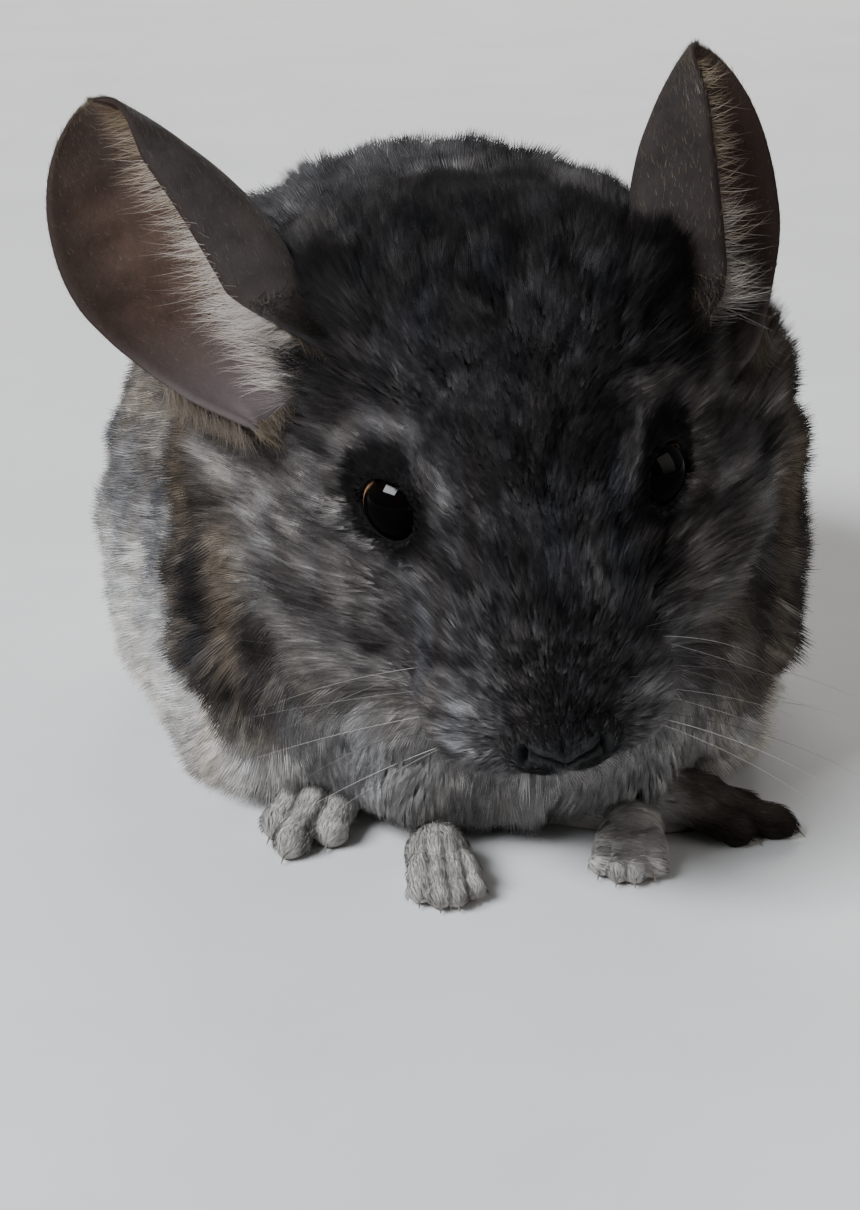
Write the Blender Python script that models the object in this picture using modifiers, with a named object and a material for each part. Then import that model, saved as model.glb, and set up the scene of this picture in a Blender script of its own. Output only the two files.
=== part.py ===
"""A grey chinchilla crouched on the floor with its head lowered, life size, as a still museum model.

The animal faces -Y, its left is +X and +Z is up. Its flesh and plush coat are modelled whole from soft
forms, blended into one surface, and then parted into named pieces that keep thin gaps between them.
Lengths are in millimetres until MM turns them into metres. The animal is built with the middle of its
eyes above the world's origin, and is moved at the end so that the origin is on the floor under the
middle of its bounding box.
"""

import math

import bmesh
import bpy
import numpy as np
from mathutils import Matrix, Vector
from mathutils.bvhtree import BVHTree

MM = 0.001
GAP = 0.3

# Driving sizes, over the coat.
BODY_WIDTH = 126
BODY_LENGTH = 150
BACK_HEIGHT = 100
NAPE_HEIGHT = 108
HEAD_WIDTH = 84
SNOUT_LENGTH = 40
EYE_HEIGHT = 64
HEAD_PITCH = math.radians(58)
HEAD_ROLL = math.radians(-5.5)

# The head's own frame has its origin between the eyes, -Y along the snout and +Z out of the forehead.
HEAD = (
    Matrix.Translation((0, 0, EYE_HEIGHT * MM))
    @ Matrix.Rotation(HEAD_ROLL, 4, "Y")
    @ Matrix.Rotation(HEAD_PITCH, 4, "X")
)
HERE = Matrix.Identity(4)

# The eyes, in the head's frame: between their centres, the left one's place and where it looks.
EYE_RADIUS = 6.2
EYE_SPACING = 35.5
EYE_MIDDLE = (0, -1.4, 5.9)
EYE_LOOK = (0.72, -0.42, 0.55)
LID_OPENING = 4.7
LID_THICKNESS = 1.0

# The nose pad, its nostrils, and the line that parts the lips below it.
NOSE_PAD = (8.8, 4.6, 4.8)
NOSTRIL = (0.9, 1.8, 2.2)
NOSTRIL_SPACING = 14
MOUTH_GROOVE = 0.7
MOUTH_WIDTH = 30

# Each ear's root inside the head and its tip, the way that its cup faces, how far from its middle
# line the inner edge starts to roll over, as a share of the width, and the angle of that roll.
EARS = {
    "right": ((-34, 6, 77), (-61, 42, 115.5), (-0.20, -0.96, 0.22), 0.30, 2.25),
    "left": ((26.5, 9, 78), (34, 41, 122.5), (0.56, -0.80, 0.17), 0.22, 1.85),
}
EAR_WIDTH = 43
EAR_THICKNESS = 1.2
EAR_BOW = 0.1
EAR_SOCKET = 13
EAR_ROWS = 11
EAR_COLUMNS = 13

# Each foreleg's shoulder and wrist.
FORELEGS = {
    "right": ((-26, 36, 34), (-12, 6, 7)),
    "left": ((28, 36, 34), (18, 8, 7)),
}
FORELEG_RADIUS = 11

# Each paw's wrist or heel on the floor, and the turn of its toes towards the animal's left.
FOREPAWS = {"right": ((-12, 8), math.radians(0)), "left": ((21, 13), math.radians(-14))}
HIND_FEET = {"right": ((-13, 56), math.radians(-26)), "left": ((-1, 27), math.radians(70))}

# Length, width between the middles of the outer toes, height, toes, share of the length in toes.
FOREPAW = (21, 9, 9, 4, 0.5)
HIND_FOOT = (52, 10, 12, 3, 0.33)
PAW_TRIANGLES = 390

# The tail's middle line on the floor behind the rump, and the radius of its brush at the fullest.
TAIL_LINE = [(0, 138, 27), (1, 160, 20), (6, 184, 18.5), (17, 210, 18.5), (33, 234, 17.5), (50, 254, 16)]
TAIL_BRUSH_RADIUS = 21
# The locks of the brush: rows, locks in a row, each one's length, width and thickness, and its steps.
TAIL_ROWS = 7
TAIL_ROUND = 6
TAIL_LOCK = (38, 17, 3.6)
LOCK_STEPS = 4

# Fineness of the blended surface, and how far its creases are smoothed.
BODY_VOXEL = 2.4
BODY_ROUNDS = 40
FACE_VOXEL = 1.3
FACE_ROUNDS = 18
PAW_VOXEL = 0.6
PAW_ROUNDS = 3
# How high the belly hangs over the floor between the feet.
BELLY_RISE = 1.2
# Triangles that are kept over the whole animal where the head comes from, and where the rest does.
FINE_TRIANGLES = 7600
COARSE_TRIANGLES = 3000

# Colour and roughness of each kind of surface.
SURFACES = {
    "coat": ((0.20, 0.19, 0.19, 1), 0.95),
    "paw": ((0.50, 0.48, 0.47, 1), 0.9),
    "ear": ((0.16, 0.11, 0.09, 1), 0.7),
    "eye": ((0.010, 0.008, 0.007, 1), 0.08),
    "nose": ((0.05, 0.04, 0.04, 1), 0.5),
}


def clear_scene():
    for obj in list(bpy.data.objects):
        bpy.data.objects.remove(obj)


def new_collection(name):
    collection = bpy.data.collections.new(name)
    bpy.context.scene.collection.children.link(collection)
    return collection


def move_to(obj, collection):
    """Moves the object to the collection. One that cuts or guides shows as wires, and in no picture."""
    for other in list(obj.users_collection):
        other.objects.unlink(obj)
    collection.objects.link(obj)
    obj.hide_render = collection.hide_render
    obj.display_type = "WIRE" if collection.hide_render else "TEXTURED"
    return obj


def add_object(name, mesh, collection):
    return move_to(bpy.data.objects.new(name, mesh), collection)


def mesh_from(shape, name):
    """The finished mesh of a bmesh, which is then freed."""
    mesh = bpy.data.meshes.new(name)
    shape.to_mesh(mesh)
    shape.free()
    return mesh


def ellipsoid_mesh(name, centre, radii, place=HERE, segments=28, rings=18):
    """A sphere stretched to three radii, at centre in the frame of place."""
    shape = bmesh.new()
    bmesh.ops.create_uvsphere(shape, u_segments=segments, v_segments=rings, radius=1)
    stretch = Matrix.Diagonal((*[r * MM for r in radii], 1))
    shape.transform(place @ Matrix.Translation(Vector(centre) * MM) @ stretch)
    return mesh_from(shape, name)


def ellipsoid(name, collection, centre, radii, place=HERE, segments=16, rings=10):
    return add_object(name, ellipsoid_mesh(name, centre, radii, place, segments, rings), collection)


def limb_mesh(start, end, radius, place=HERE):
    """A long ellipsoid from start to end, with the given radius at its middle."""
    start, end = Vector(start), Vector(end)
    along = end - start
    turn = along.to_track_quat("Z", "Y").to_matrix().to_4x4()
    middle = Matrix.Translation((start + end) / 2 * MM)
    radii = (radius, radius, along.length / 2)
    return ellipsoid_mesh("limb", (0, 0, 0), radii, place @ middle @ turn, 16, 10)


def mirrored_pair(centre, radii, place=HERE):
    """Two ellipsoids, one on each side of the plane of symmetry."""
    x, y, z = centre
    return [ellipsoid_mesh("pair", (sign * x, y, z), radii, place) for sign in (1, -1)]


def box(name, collection, centre, size, turn=HERE):
    shape = bmesh.new()
    bmesh.ops.create_cube(shape, size=1)
    stretch = Matrix.Diagonal((*[s * MM for s in size], 1))
    shape.transform(Matrix.Translation(Vector(centre) * MM) @ turn @ stretch)
    return add_object(name, mesh_from(shape, name), collection)


def joined(name, meshes, collection):
    """One object that holds all the meshes, which are then removed."""
    shape = bmesh.new()
    for mesh in meshes:
        shape.from_mesh(mesh)
        bpy.data.meshes.remove(mesh)
    return add_object(name, mesh_from(shape, name), collection)


def evaluated_mesh(obj):
    """The mesh of the object as its modifiers, or its curve's bevel, leave it."""
    bpy.context.view_layer.update()
    graph = bpy.context.evaluated_depsgraph_get()
    return bpy.data.meshes.new_from_object(obj.evaluated_get(graph))


def settle(obj):
    """Applies the object's modifiers."""
    mesh = evaluated_mesh(obj)
    obj.modifiers.clear()
    obj.data = mesh
    return obj


def blend(obj, voxel, rounds):
    """Fuses overlapping forms into one skin and smooths the creases between them."""
    remesh = obj.modifiers.new("fuse", "REMESH")
    remesh.mode = "VOXEL"
    remesh.voxel_size = voxel * MM
    smooth = obj.modifiers.new("soften", "SMOOTH")
    smooth.factor = 0.5
    smooth.iterations = rounds
    return settle(obj)


def thin_out(obj, triangles):
    """Decimates to about that many triangles."""
    present = sum(len(p.vertices) - 2 for p in obj.data.polygons)
    decimate = obj.modifiers.new("thin", "DECIMATE")
    decimate.ratio = min(1.0, triangles / present)
    decimate.use_collapse_triangulate = True
    return settle(obj)


def combine(obj, other, operation):
    """Cuts, crosses or joins obj with another, which is then removed."""
    cut = obj.modifiers.new(operation.lower(), "BOOLEAN")
    cut.operation = operation
    cut.solver = "EXACT"
    cut.object = other
    settle(obj)
    bpy.data.objects.remove(other)
    return obj


def keep_largest(obj):
    """Keeps the largest closed surface, and drops scraps and sealed hollows."""
    shape = bmesh.new()
    shape.from_mesh(obj.data)
    bmesh.ops.remove_doubles(shape, verts=shape.verts, dist=1e-6)
    left = set(shape.verts)
    islands = []
    while left:
        island, front = set(), [left.pop()]
        while front:
            vertex = front.pop()
            island.add(vertex)
            for edge in vertex.link_edges:
                near = edge.other_vert(vertex)
                if near in left:
                    left.remove(near)
                    front.append(near)
        islands.append(island)
    best = max(islands, key=len)
    scraps = [v for v in shape.verts if v not in best]
    bmesh.ops.delete(shape, geom=scraps, context="VERTS")
    bmesh.ops.triangulate(shape, faces=shape.faces)
    shape.to_mesh(obj.data)
    shape.free()
    return obj


def grown(obj, collection, by=GAP):
    """A copy of obj whose surface stands out from it by a small distance."""
    copy = add_object("grown", obj.data.copy(), collection)
    swell = copy.modifiers.new("swell", "DISPLACE")
    swell.strength = by * MM
    swell.mid_level = 0
    return settle(copy)


def trim(obj, neighbour, cutters):
    """Cuts obj back to a gap's width from its neighbour."""
    combine(obj, grown(neighbour, cutters), "DIFFERENCE")
    return keep_largest(obj)


def cut_at_floor(obj, cutters, rise=0):
    """Cuts away what reaches below the floor, which leaves a flat, at the floor or a rise above it."""
    combine(obj, box("ground", cutters, (0, 100, rise - 50), (600, 600, 100)), "DIFFERENCE")
    return keep_largest(obj)


def rod(points, radii, cutters, sides=0):
    """A closed round tube through the points, with a radius at each."""
    curve = bpy.data.curves.new("rod", "CURVE")
    curve.dimensions = "3D"
    curve.bevel_depth = MM
    curve.bevel_resolution = sides
    curve.use_fill_caps = True
    line = curve.splines.new("POLY")
    line.points.add(len(points) - 1)
    for point, place, radius in zip(line.points, points, radii):
        point.co = (*place, 1)
        point.radius = radius
    obj = add_object("rod", curve, cutters)
    mesh = evaluated_mesh(obj)
    bpy.data.objects.remove(obj)
    shape = bmesh.new()
    shape.from_mesh(mesh)
    bmesh.ops.remove_doubles(shape, verts=shape.verts, dist=0.01 * MM)
    bmesh.ops.recalc_face_normals(shape, faces=shape.faces)
    return add_object("rod", mesh_from(shape, "rod"), cutters)


def smooth_line(points, count):
    """Points evenly spaced on a smooth curve through the given ones, in metres."""
    points = np.array(points, float) * MM
    ends = np.vstack([2 * points[0] - points[1], points, 2 * points[-1] - points[-2]])
    spans = len(points) - 1
    where = np.linspace(0, spans, count)
    span = np.minimum(where.astype(int), spans - 1)
    t = (where - span)[:, None]
    a, b, c, d = (ends[span + k] for k in range(4))
    bend = 2 * a - 5 * b + 4 * c - d
    return 0.5 * (2 * b + (c - a) * t + bend * t**2 + (3 * b - a - 3 * c + d) * t**3)


# The body


def torso_forms():
    half, low = BODY_WIDTH / 2, 38
    return [
        ellipsoid_mesh("barrel", (0, 86, low), (half - 3, BODY_LENGTH / 2, BACK_HEIGHT - low)),
        ellipsoid_mesh("rump", (0, 118, 36), (46, 42, 38)),
        ellipsoid_mesh("belly", (0, 88, 14), (half - 2, 66, 26)),
        *mirrored_pair((34, 56, 12), (20, 34, 20)),
        *mirrored_pair((35, 84, 32), (half - 35, 42, 33)),
    ]


def neck_forms():
    return [
        ellipsoid_mesh("ruff", (0, 29, 60), (52, 31, NAPE_HEIGHT - 61)),
        ellipsoid_mesh("nape", (0, 54, 60), (50, 36, NAPE_HEIGHT - 64)),
        ellipsoid_mesh("chest", (0, 29, 26), (39, 27, 30)),
        ellipsoid_mesh("throat", (-2, 16, 42), (37, 24, 26)),
        *mirrored_pair((30, 36, 38), (24, 28, 34)),
    ]


def head_forms():
    half, snout = HEAD_WIDTH / 2, SNOUT_LENGTH
    return [
        ellipsoid_mesh("cranium", (0, 20, -1), (34, 27, 26), HEAD),
        ellipsoid_mesh("forehead", (0, 7, 2), (23.5, 27, 20), HEAD),
        ellipsoid_mesh("face", (0, -2, -3), (22, 27, 20), HEAD),
        ellipsoid_mesh("bridge", (0, -14, -2.5), (18, 21, 16), HEAD),
        ellipsoid_mesh("muzzle", (0, -snout / 2, -4), (15.5, 19, 13.5), HEAD),
        ellipsoid_mesh("snout", (0, 7 - snout, -2.5), (10, 8, 8), HEAD),
        ellipsoid_mesh("lip", (0, 1 - snout, -9), (10.5, 6, 6.5), HEAD),
        ellipsoid_mesh("chin", (0, 4 - snout / 2, -16), (13, 19, 9), HEAD),
        *mirrored_pair((9.5, 10 - snout, -8), (10, 12, 9), HEAD),
        *mirrored_pair((half - 23, 5, -17), (23, 27, 19), HEAD),
        *mirrored_pair((11, 1, 9), (9, 11, 8), HEAD),
    ]


def foreleg_forms():
    return [limb_mesh(shoulder, wrist, FORELEG_RADIUS) for shoulder, wrist in FORELEGS.values()]


def whole_body(cutters):
    """The body, neck, head and forelegs as one surface, cut flat at the floor.

    The body and neck are blended first and softly, then the head and forelegs with finer creases.
    It returns a fine copy, which the head is taken from, and a coarse one for the rest.
    """
    body = joined("body", torso_forms() + neck_forms(), cutters)
    blend(body, BODY_VOXEL, BODY_ROUNDS)
    fine = joined("fine", [body.data.copy()] + head_forms() + foreleg_forms(), cutters)
    bpy.data.objects.remove(body)
    blend(fine, FACE_VOXEL, FACE_ROUNDS)
    coarse = add_object("coarse", fine.data.copy(), cutters)
    thin_out(fine, FINE_TRIANGLES)
    thin_out(coarse, COARSE_TRIANGLES)
    return cut_at_floor(fine, cutters), cut_at_floor(coarse, cutters)


def take_out(whole, region, name, nodes, cutters, source=None):
    """Moves what lies inside region from whole into a node of its own, with a gap between them.

    The node is cut from source, where one is given, a finer surface of the same animal.
    """
    wide = grown(region, cutters)
    node = add_object(name, (source or whole).data.copy(), nodes)
    combine(node, region, "INTERSECT")
    combine(whole, wide, "DIFFERENCE")
    keep_largest(whole)
    return keep_largest(node)


def head_region(cutters):
    """The skull with its cheeks and jaw."""
    return ellipsoid("skull", cutters, (0, 4, 3), (54, 50, 30), HEAD, 20, 12)


def neck_region(cutters):
    """All that is above a slope from the throat up to the withers."""
    throat, withers = Vector((0, -8, 30)), Vector((0, 62, 104))
    slope = math.atan2(withers.z - throat.z, withers.y - throat.y)
    turn = Matrix.Rotation(slope, 4, "X")
    return box("above", cutters, (throat + withers) / 2 + turn @ Vector((0, 0, 100)), (300, 300, 200), turn)


def foreleg_region(side, cutters):
    shoulder, wrist = (Vector(p) for p in FORELEGS[side])
    beyond = (wrist - shoulder).normalized() * 6
    mesh = limb_mesh(shoulder - beyond, wrist + beyond, FORELEG_RADIUS + 6)
    return add_object("limb", mesh, cutters)


def haunch_region(sign, cutters):
    """The thigh with the hock under it, which narrows to a small flat on the floor."""
    return ellipsoid("haunch", cutters, (sign * 42, 82, 31), (27, 46, 33), HERE, 20, 12)


# The ears


def ear_surface(side):
    """The ear's middle sheet: a profile carried from the root to the tip.

    Across the ear the sheet turns gently towards its outer edge, and rolls over forwards at its
    inner edge. Both halves swell to the middle of the ear and close at the tip. The first row is
    set back into the head.
    """
    root, tip, facing, fold_at, roll = EARS[side]
    root, tip, facing = (np.array(v, float) for v in (root, tip, facing))
    length = np.linalg.norm(tip - root)
    axis = (tip - root) / length
    facing = facing - facing.dot(axis) * axis
    facing /= np.linalg.norm(facing)
    outward = np.cross(facing, axis) if side == "right" else np.cross(axis, facing)

    along = np.sin(np.linspace(0, math.pi / 2, EAR_ROWS - 1) * 0.985)
    along = np.append(-0.02, along * 0.995 / along[-1])
    across = np.linspace(-1, 1, EAR_COLUMNS)
    swell = np.sin(np.clip(along / 0.62, -1, 1) * math.pi / 2)
    outer = (0.51 + 0.49 * swell) * (1 - np.clip((along - 0.45) / 0.55, 0, 1) ** 2.2) ** 0.58
    inner = (0.95 + 0.32 * swell) * (1 - np.clip((along - 0.25) / 0.75, 0, 1) ** 1.9) ** 0.85
    width = EAR_WIDTH / 2 * np.where(across < 0, inner[:, None], outer[:, None])
    bend = roll * np.clip((1 - along) / 0.25, 0, 1) ** 0.5 * (0.45 + 0.55 * np.clip(along / 0.3, 0, 1))
    fold = np.clip((-across - fold_at) / 0.42, 0, 1)
    turn = np.outer(1 - 0.5 * along, across) - np.outer(bend, fold * fold * (3 - 2 * fold))
    step = across[1] - across[0]
    flat_x = np.cumsum(np.cos(turn) * width, axis=1) * step
    flat_y = np.cumsum(np.sin(turn) * width, axis=1) * step
    middle = EAR_COLUMNS // 2
    flat_x -= flat_x[:, middle : middle + 1]
    flat_y -= flat_y[:, middle : middle + 1]
    bow = EAR_BOW * length * np.sin(np.clip(along, 0, 1) * math.pi)
    bow[0] = EAR_SOCKET
    points = root + (along * length)[:, None, None] * axis + flat_x[..., None] * outward
    return (points + (flat_y - bow[:, None])[..., None] * facing) * MM


def ear(side, nodes):
    """One ear, as a thin curled shell whose two faces have the same triangles."""
    points = ear_surface(side)
    rows, columns = points.shape[:2]
    shape = bmesh.new()
    verts = [shape.verts.new(p) for p in points.reshape(-1, 3)]
    for row in range(rows - 1):
        for column in range(columns - 1):
            a = row * columns + column
            b, c, d = a + 1, a + columns + 1, a + columns
            shape.faces.new([verts[i] for i in (a, b, c)])
            shape.faces.new([verts[i] for i in (a, c, d)])
    obj = add_object(f"ear_{side}", mesh_from(shape, "ear"), nodes)
    shell = obj.modifiers.new("shell", "SOLIDIFY")
    shell.thickness = EAR_THICKNESS * MM
    shell.offset = 0
    settle(obj)
    shape = bmesh.new()
    shape.from_mesh(obj.data)
    bmesh.ops.recalc_face_normals(shape, faces=shape.faces)
    obj.data = mesh_from(shape, "ear")
    return obj


# The face


def eye_place(sign):
    """The frame of an eye: its centre, with +Z looking out through the pupil."""
    centre = Vector((sign * EYE_SPACING / 2, EYE_MIDDLE[1], EYE_MIDDLE[2])) * MM
    look = Vector((sign * EYE_LOOK[0], EYE_LOOK[1], EYE_LOOK[2]))
    return HEAD @ Matrix.Translation(centre) @ look.to_track_quat("Z", "Y").to_matrix().to_4x4()


def eye_ball(name, sign, radius, collection):
    return ellipsoid(name, collection, (0, 0, 0), (radius, radius, radius), eye_place(sign))


def lids(sign, cutters):
    """The rim of both lids, a ring that sits on the eyeball round the opening."""
    rise = math.sqrt(EYE_RADIUS**2 - LID_OPENING**2)
    turns = np.linspace(0, 2 * math.pi, 18, endpoint=False)
    shape = bmesh.new()
    circle = bmesh.ops.create_circle(shape, segments=6, radius=LID_THICKNESS * MM)["verts"]
    stand = Matrix.Translation((LID_OPENING * MM, 0, 0)) @ Matrix.Rotation(math.pi / 2, 4, "X")
    bmesh.ops.transform(shape, matrix=stand, verts=circle)
    bmesh.ops.spin(
        shape,
        geom=shape.edges[:],
        cent=(0, 0, 0),
        axis=(0, 0, 1),
        angle=2 * math.pi,
        steps=len(turns),
        use_merge=True,
    )
    bmesh.ops.remove_doubles(shape, verts=shape.verts, dist=0.001 * MM)
    bmesh.ops.recalc_face_normals(shape, faces=shape.faces)
    shape.transform(eye_place(sign) @ Matrix.Translation((0, 0, rise * MM)))
    return add_object("lids", mesh_from(shape, "lids"), cutters)


def add_lids_and_sockets(head, cutters):
    for sign in (1, -1):
        combine(head, lids(sign, cutters), "UNION")
        combine(head, eye_ball("socket", sign, EYE_RADIUS + GAP, cutters), "DIFFERENCE")
    return keep_largest(head)


def nose_pad(head, nodes, cutters):
    """The bare pad at the snout's tip, with its two slanting nostrils."""
    pad = ellipsoid("nose", nodes, (0, 1 - SNOUT_LENGTH, 0.2), NOSE_PAD, HEAD, 14, 8)
    combine(pad, grown(head, cutters), "DIFFERENCE")
    for sign in (1, -1):
        spot = Vector((sign * NOSTRIL_SPACING / 2, -SNOUT_LENGTH - 0.8, 2.2)) * MM
        slant = HEAD @ Matrix.Translation(spot) @ Matrix.Rotation(sign * math.radians(30), 4, "Y")
        combine(pad, ellipsoid("slit", cutters, (0, 0, 0), NOSTRIL, slant, 10, 8), "DIFFERENCE")
    return keep_largest(pad)


def cut_mouth(head, cutters):
    """The cleft below the nose and the line between the lips, sunk in the muzzle's surface."""
    surface = BVHTree.FromPolygons(
        [v.co for v in head.data.vertices], [p.vertices for p in head.data.polygons]
    )
    tip = -SNOUT_LENGTH
    middle = HEAD @ (Vector((0, tip / 2, -4)) * MM)

    def on_skin(x, y, z):
        outer = HEAD @ (Vector((x, y, z)) * MM)
        return surface.ray_cast(outer, (middle - outer).normalized())[0]

    lines = [[on_skin(0, tip - 6, z) for z in (-8, -11, -14, -17)]]
    for sign in (1, -1):
        corner = sign * MOUTH_WIDTH / 2
        lip = [(0, -6, -16), (corner / 3, -2, -19), (corner * 2 / 3, 6, -21), (corner, 14, -21)]
        lines.append([on_skin(x, tip + y, z) for x, y, z in lip])
    for line in lines:
        points = [p for p in line if p]
        combine(head, rod(points, [MOUTH_GROOVE] * len(points), cutters), "DIFFERENCE")
    return keep_largest(head)


# The paws and the tail


def paw(name, stand, sizes, nodes, cutters):
    """A paw on the floor: a low palm, and toes that arch from it down to their tips along -Y."""
    (spot, turn), (length, width, height, toes, share) = stand, sizes
    place = Matrix.Translation(Vector((*spot, 0)) * MM) @ Matrix.Rotation(turn, 4, "Z")
    half, palm = width / 2, length * (1 - share)
    thick = half * 1.55 / toes + 0.5
    forms = [
        ellipsoid_mesh(
            "palm", (0, -palm * 0.55, height * 0.4), (half * 1.2, palm * 0.62, height * 0.6), place
        )
    ]
    for number in range(toes):
        off = (2 * number - toes + 1) / (toes - 1)
        root = (off * half * 0.62, -palm * 0.8, height * 0.45)
        knuckle = (off * half * 0.78, -palm - length * share * 0.35, height * 0.42)
        end = (off * half * 0.92, -length * (1 - 0.12 * off * off), 1.6)
        forms.append(limb_mesh(root, (knuckle[0], knuckle[1] - 2, knuckle[2] - 0.6), thick * 1.1, place))
        forms.append(limb_mesh((knuckle[0], knuckle[1] + 3, knuckle[2]), end, thick * 0.95, place))
    obj = joined(name, forms, nodes)
    blend(obj, PAW_VOXEL, PAW_ROUNDS)
    thin_out(obj, PAW_TRIANGLES)
    return cut_at_floor(obj, cutters)


def lock_mesh(root, axis, out, rise, sizes):
    """One lock of the brush: a flat, tapered leaf that leaves the core outwards and bends along axis."""
    length, width, thickness = sizes
    share = np.linspace(0, 1, LOCK_STEPS)[:, None]
    path = root + axis * length * (0.55 * share + 0.45 * share**2) + out * rise * share * (2 - share)
    across = np.cross(axis, out)
    taper = np.sqrt(np.clip(0.35 + 1.3 * share, 0, 1) * (1 - share**2.2 * 0.97))
    rings = [path + across * width / 2 * taper, path + out * thickness / 2 * taper]
    rings += [path - across * width / 2 * taper, path - out * thickness / 2 * taper]
    shape = bmesh.new()
    verts = [[shape.verts.new(p) for p in ring] for ring in np.stack(rings, 1)]
    for low, high in zip(verts, verts[1:]):
        for k in range(4):
            shape.faces.new([low[k], low[(k + 1) % 4], high[(k + 1) % 4], high[k]])
    shape.faces.new(verts[0])
    shape.faces.new(verts[-1])
    bmesh.ops.recalc_face_normals(shape, faces=shape.faces)
    bmesh.ops.triangulate(shape, faces=shape.faces)
    return mesh_from(shape, "lock")


def brush_radius(share):
    """The brush's radius out to the tips of its hair, as a share of the fullest, from root to end."""
    fullness = 0.45 + 0.55 * np.sin(np.clip(share / 0.7, 0, 1) * math.pi / 2)
    return fullness * np.sqrt(1 - np.clip((share - 0.6) / 0.4, 0, 1) ** 2 * 0.92)


def tail(nodes, cutters):
    """The tail: a slim core, and rows of overlapping locks round it that end at the brush's outline."""
    count = 61
    line = smooth_line(TAIL_LINE, count)
    share = np.linspace(0, 1, count)
    ahead = np.gradient(line, axis=0)
    ahead /= np.linalg.norm(ahead, axis=1, keepdims=True)
    level = np.cross(ahead, (0, 0, 1.0))
    core = brush_radius(share) * TAIL_BRUSH_RADIUS * (0.95 - 0.5 * np.clip(share / 0.2, 0, 1))
    brush = move_to(rod(line[:56:8], core[:56:8], cutters, 2), nodes)
    brush.name = "tail"

    locks = new_collection("locks")
    locks.hide_render = True
    for row in range(TAIL_ROWS):
        start = int(count * (0.10 + 0.66 * row / (TAIL_ROWS - 1)))
        end = min(start + 14, count - 1)
        reach = float(brush_radius(share[end]) * TAIL_BRUSH_RADIUS * MM)
        for number in range(TAIL_ROUND):
            angle = 2 * math.pi * (number + 0.5 * (row % 2)) / TAIL_ROUND
            out = level[start] * math.cos(angle) + np.array((0, 0, 1.0)) * math.sin(angle)
            out -= out.dot(ahead[start]) * ahead[start]
            turned = ahead[start] + (ahead[end] - ahead[start]) * 0.5
            root = line[start] + out * core[start] * 0.35 * MM
            mesh = lock_mesh(root, turned, out, reach - core[start] * 0.35 * MM, [x * MM for x in TAIL_LOCK])
            add_object("lock", mesh, locks)
    union = brush.modifiers.new("union", "BOOLEAN")
    union.operation = "UNION"
    union.operand_type = "COLLECTION"
    union.collection = locks
    union.solver = "EXACT"
    settle(brush)
    for lock in list(locks.objects):
        bpy.data.objects.remove(lock)
    bpy.data.collections.remove(locks)
    keep_largest(brush)
    return cut_at_floor(brush, cutters)


# The finish


def surface_of(name):
    kind = next((k for k in ("paw", "ear", "eye", "nose") if k in name), "coat")
    return SURFACES["paw" if "foot" in name else kind]


def finish(nodes):
    """Gives each node its material, and moves the animal over the world's origin."""
    corners = np.array([v.co for obj in nodes.objects for v in obj.data.vertices])
    low, high = corners.min(axis=0), corners.max(axis=0)
    shift = Matrix.Translation((-(low[0] + high[0]) / 2, -(low[1] + high[1]) / 2, -low[2]))
    for obj in nodes.objects:
        colour, roughness = surface_of(obj.name)
        made = bpy.data.materials.new(obj.name)
        made.use_nodes = True
        shader = made.node_tree.nodes["Principled BSDF"]
        shader.inputs["Base Color"].default_value = colour
        shader.inputs["Roughness"].default_value = roughness
        shader.inputs["Metallic"].default_value = 0
        obj.data.materials.clear()
        obj.data.materials.append(made)
        obj.data.transform(shift)
        obj.data.shade_smooth()
        obj.data.set_sharp_from_angle(angle=math.radians(50))


def main():
    clear_scene()
    nodes = new_collection("chinchilla")
    cutters = new_collection("cutters")
    cutters.hide_render = True
    fine, whole = whole_body(cutters)

    for side, sign in (("right", -1), ("left", 1)):
        trim(trim(ear(side, nodes), whole, cutters), fine, cutters)
        forepaw = paw(f"forepaw_{side}", FOREPAWS[side], FOREPAW, nodes, cutters)
        trim(forepaw, whole, cutters)
        foot = paw(f"hind_foot_{side}", HIND_FEET[side], HIND_FOOT, nodes, cutters)
        trim(trim(foot, whole, cutters), forepaw, cutters)
        eye_ball(f"eye_{side}", sign, EYE_RADIUS, nodes)
    trim(tail(nodes, cutters), whole, cutters)

    head = take_out(whole, head_region(cutters), "head", nodes, cutters, fine)
    bpy.data.objects.remove(fine)
    nose_pad(head, nodes, cutters)
    cut_mouth(head, cutters)
    add_lids_and_sockets(head, cutters)
    for side, sign in (("right", -1), ("left", 1)):
        take_out(whole, foreleg_region(side, cutters), f"foreleg_{side}", nodes, cutters)
        take_out(whole, haunch_region(sign, cutters), f"hind_leg_{side}", nodes, cutters)
    take_out(whole, neck_region(cutters), "neck", nodes, cutters)
    cut_at_floor(whole, cutters, BELLY_RISE)
    whole.name = "torso"
    move_to(whole, nodes)
    finish(nodes)


main()
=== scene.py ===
"""A crouching grey chinchilla, life size: skin, coat, ears, eyes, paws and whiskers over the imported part.

The file is laid out as an add-on with one operator for each group of pieces. Lengths inside are in
millimetres until MM turns them into metres. Three frames are used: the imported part's own frame, the
body's frame (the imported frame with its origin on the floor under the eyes), and the head's frame
(origin between the eyes, -Y along the snout, +Z out of the forehead).
"""

import math

import bmesh
import bpy
import numpy as np
from bpy.props import FloatProperty, FloatVectorProperty, PointerProperty
from mathutils import Matrix, Vector, kdtree


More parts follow.
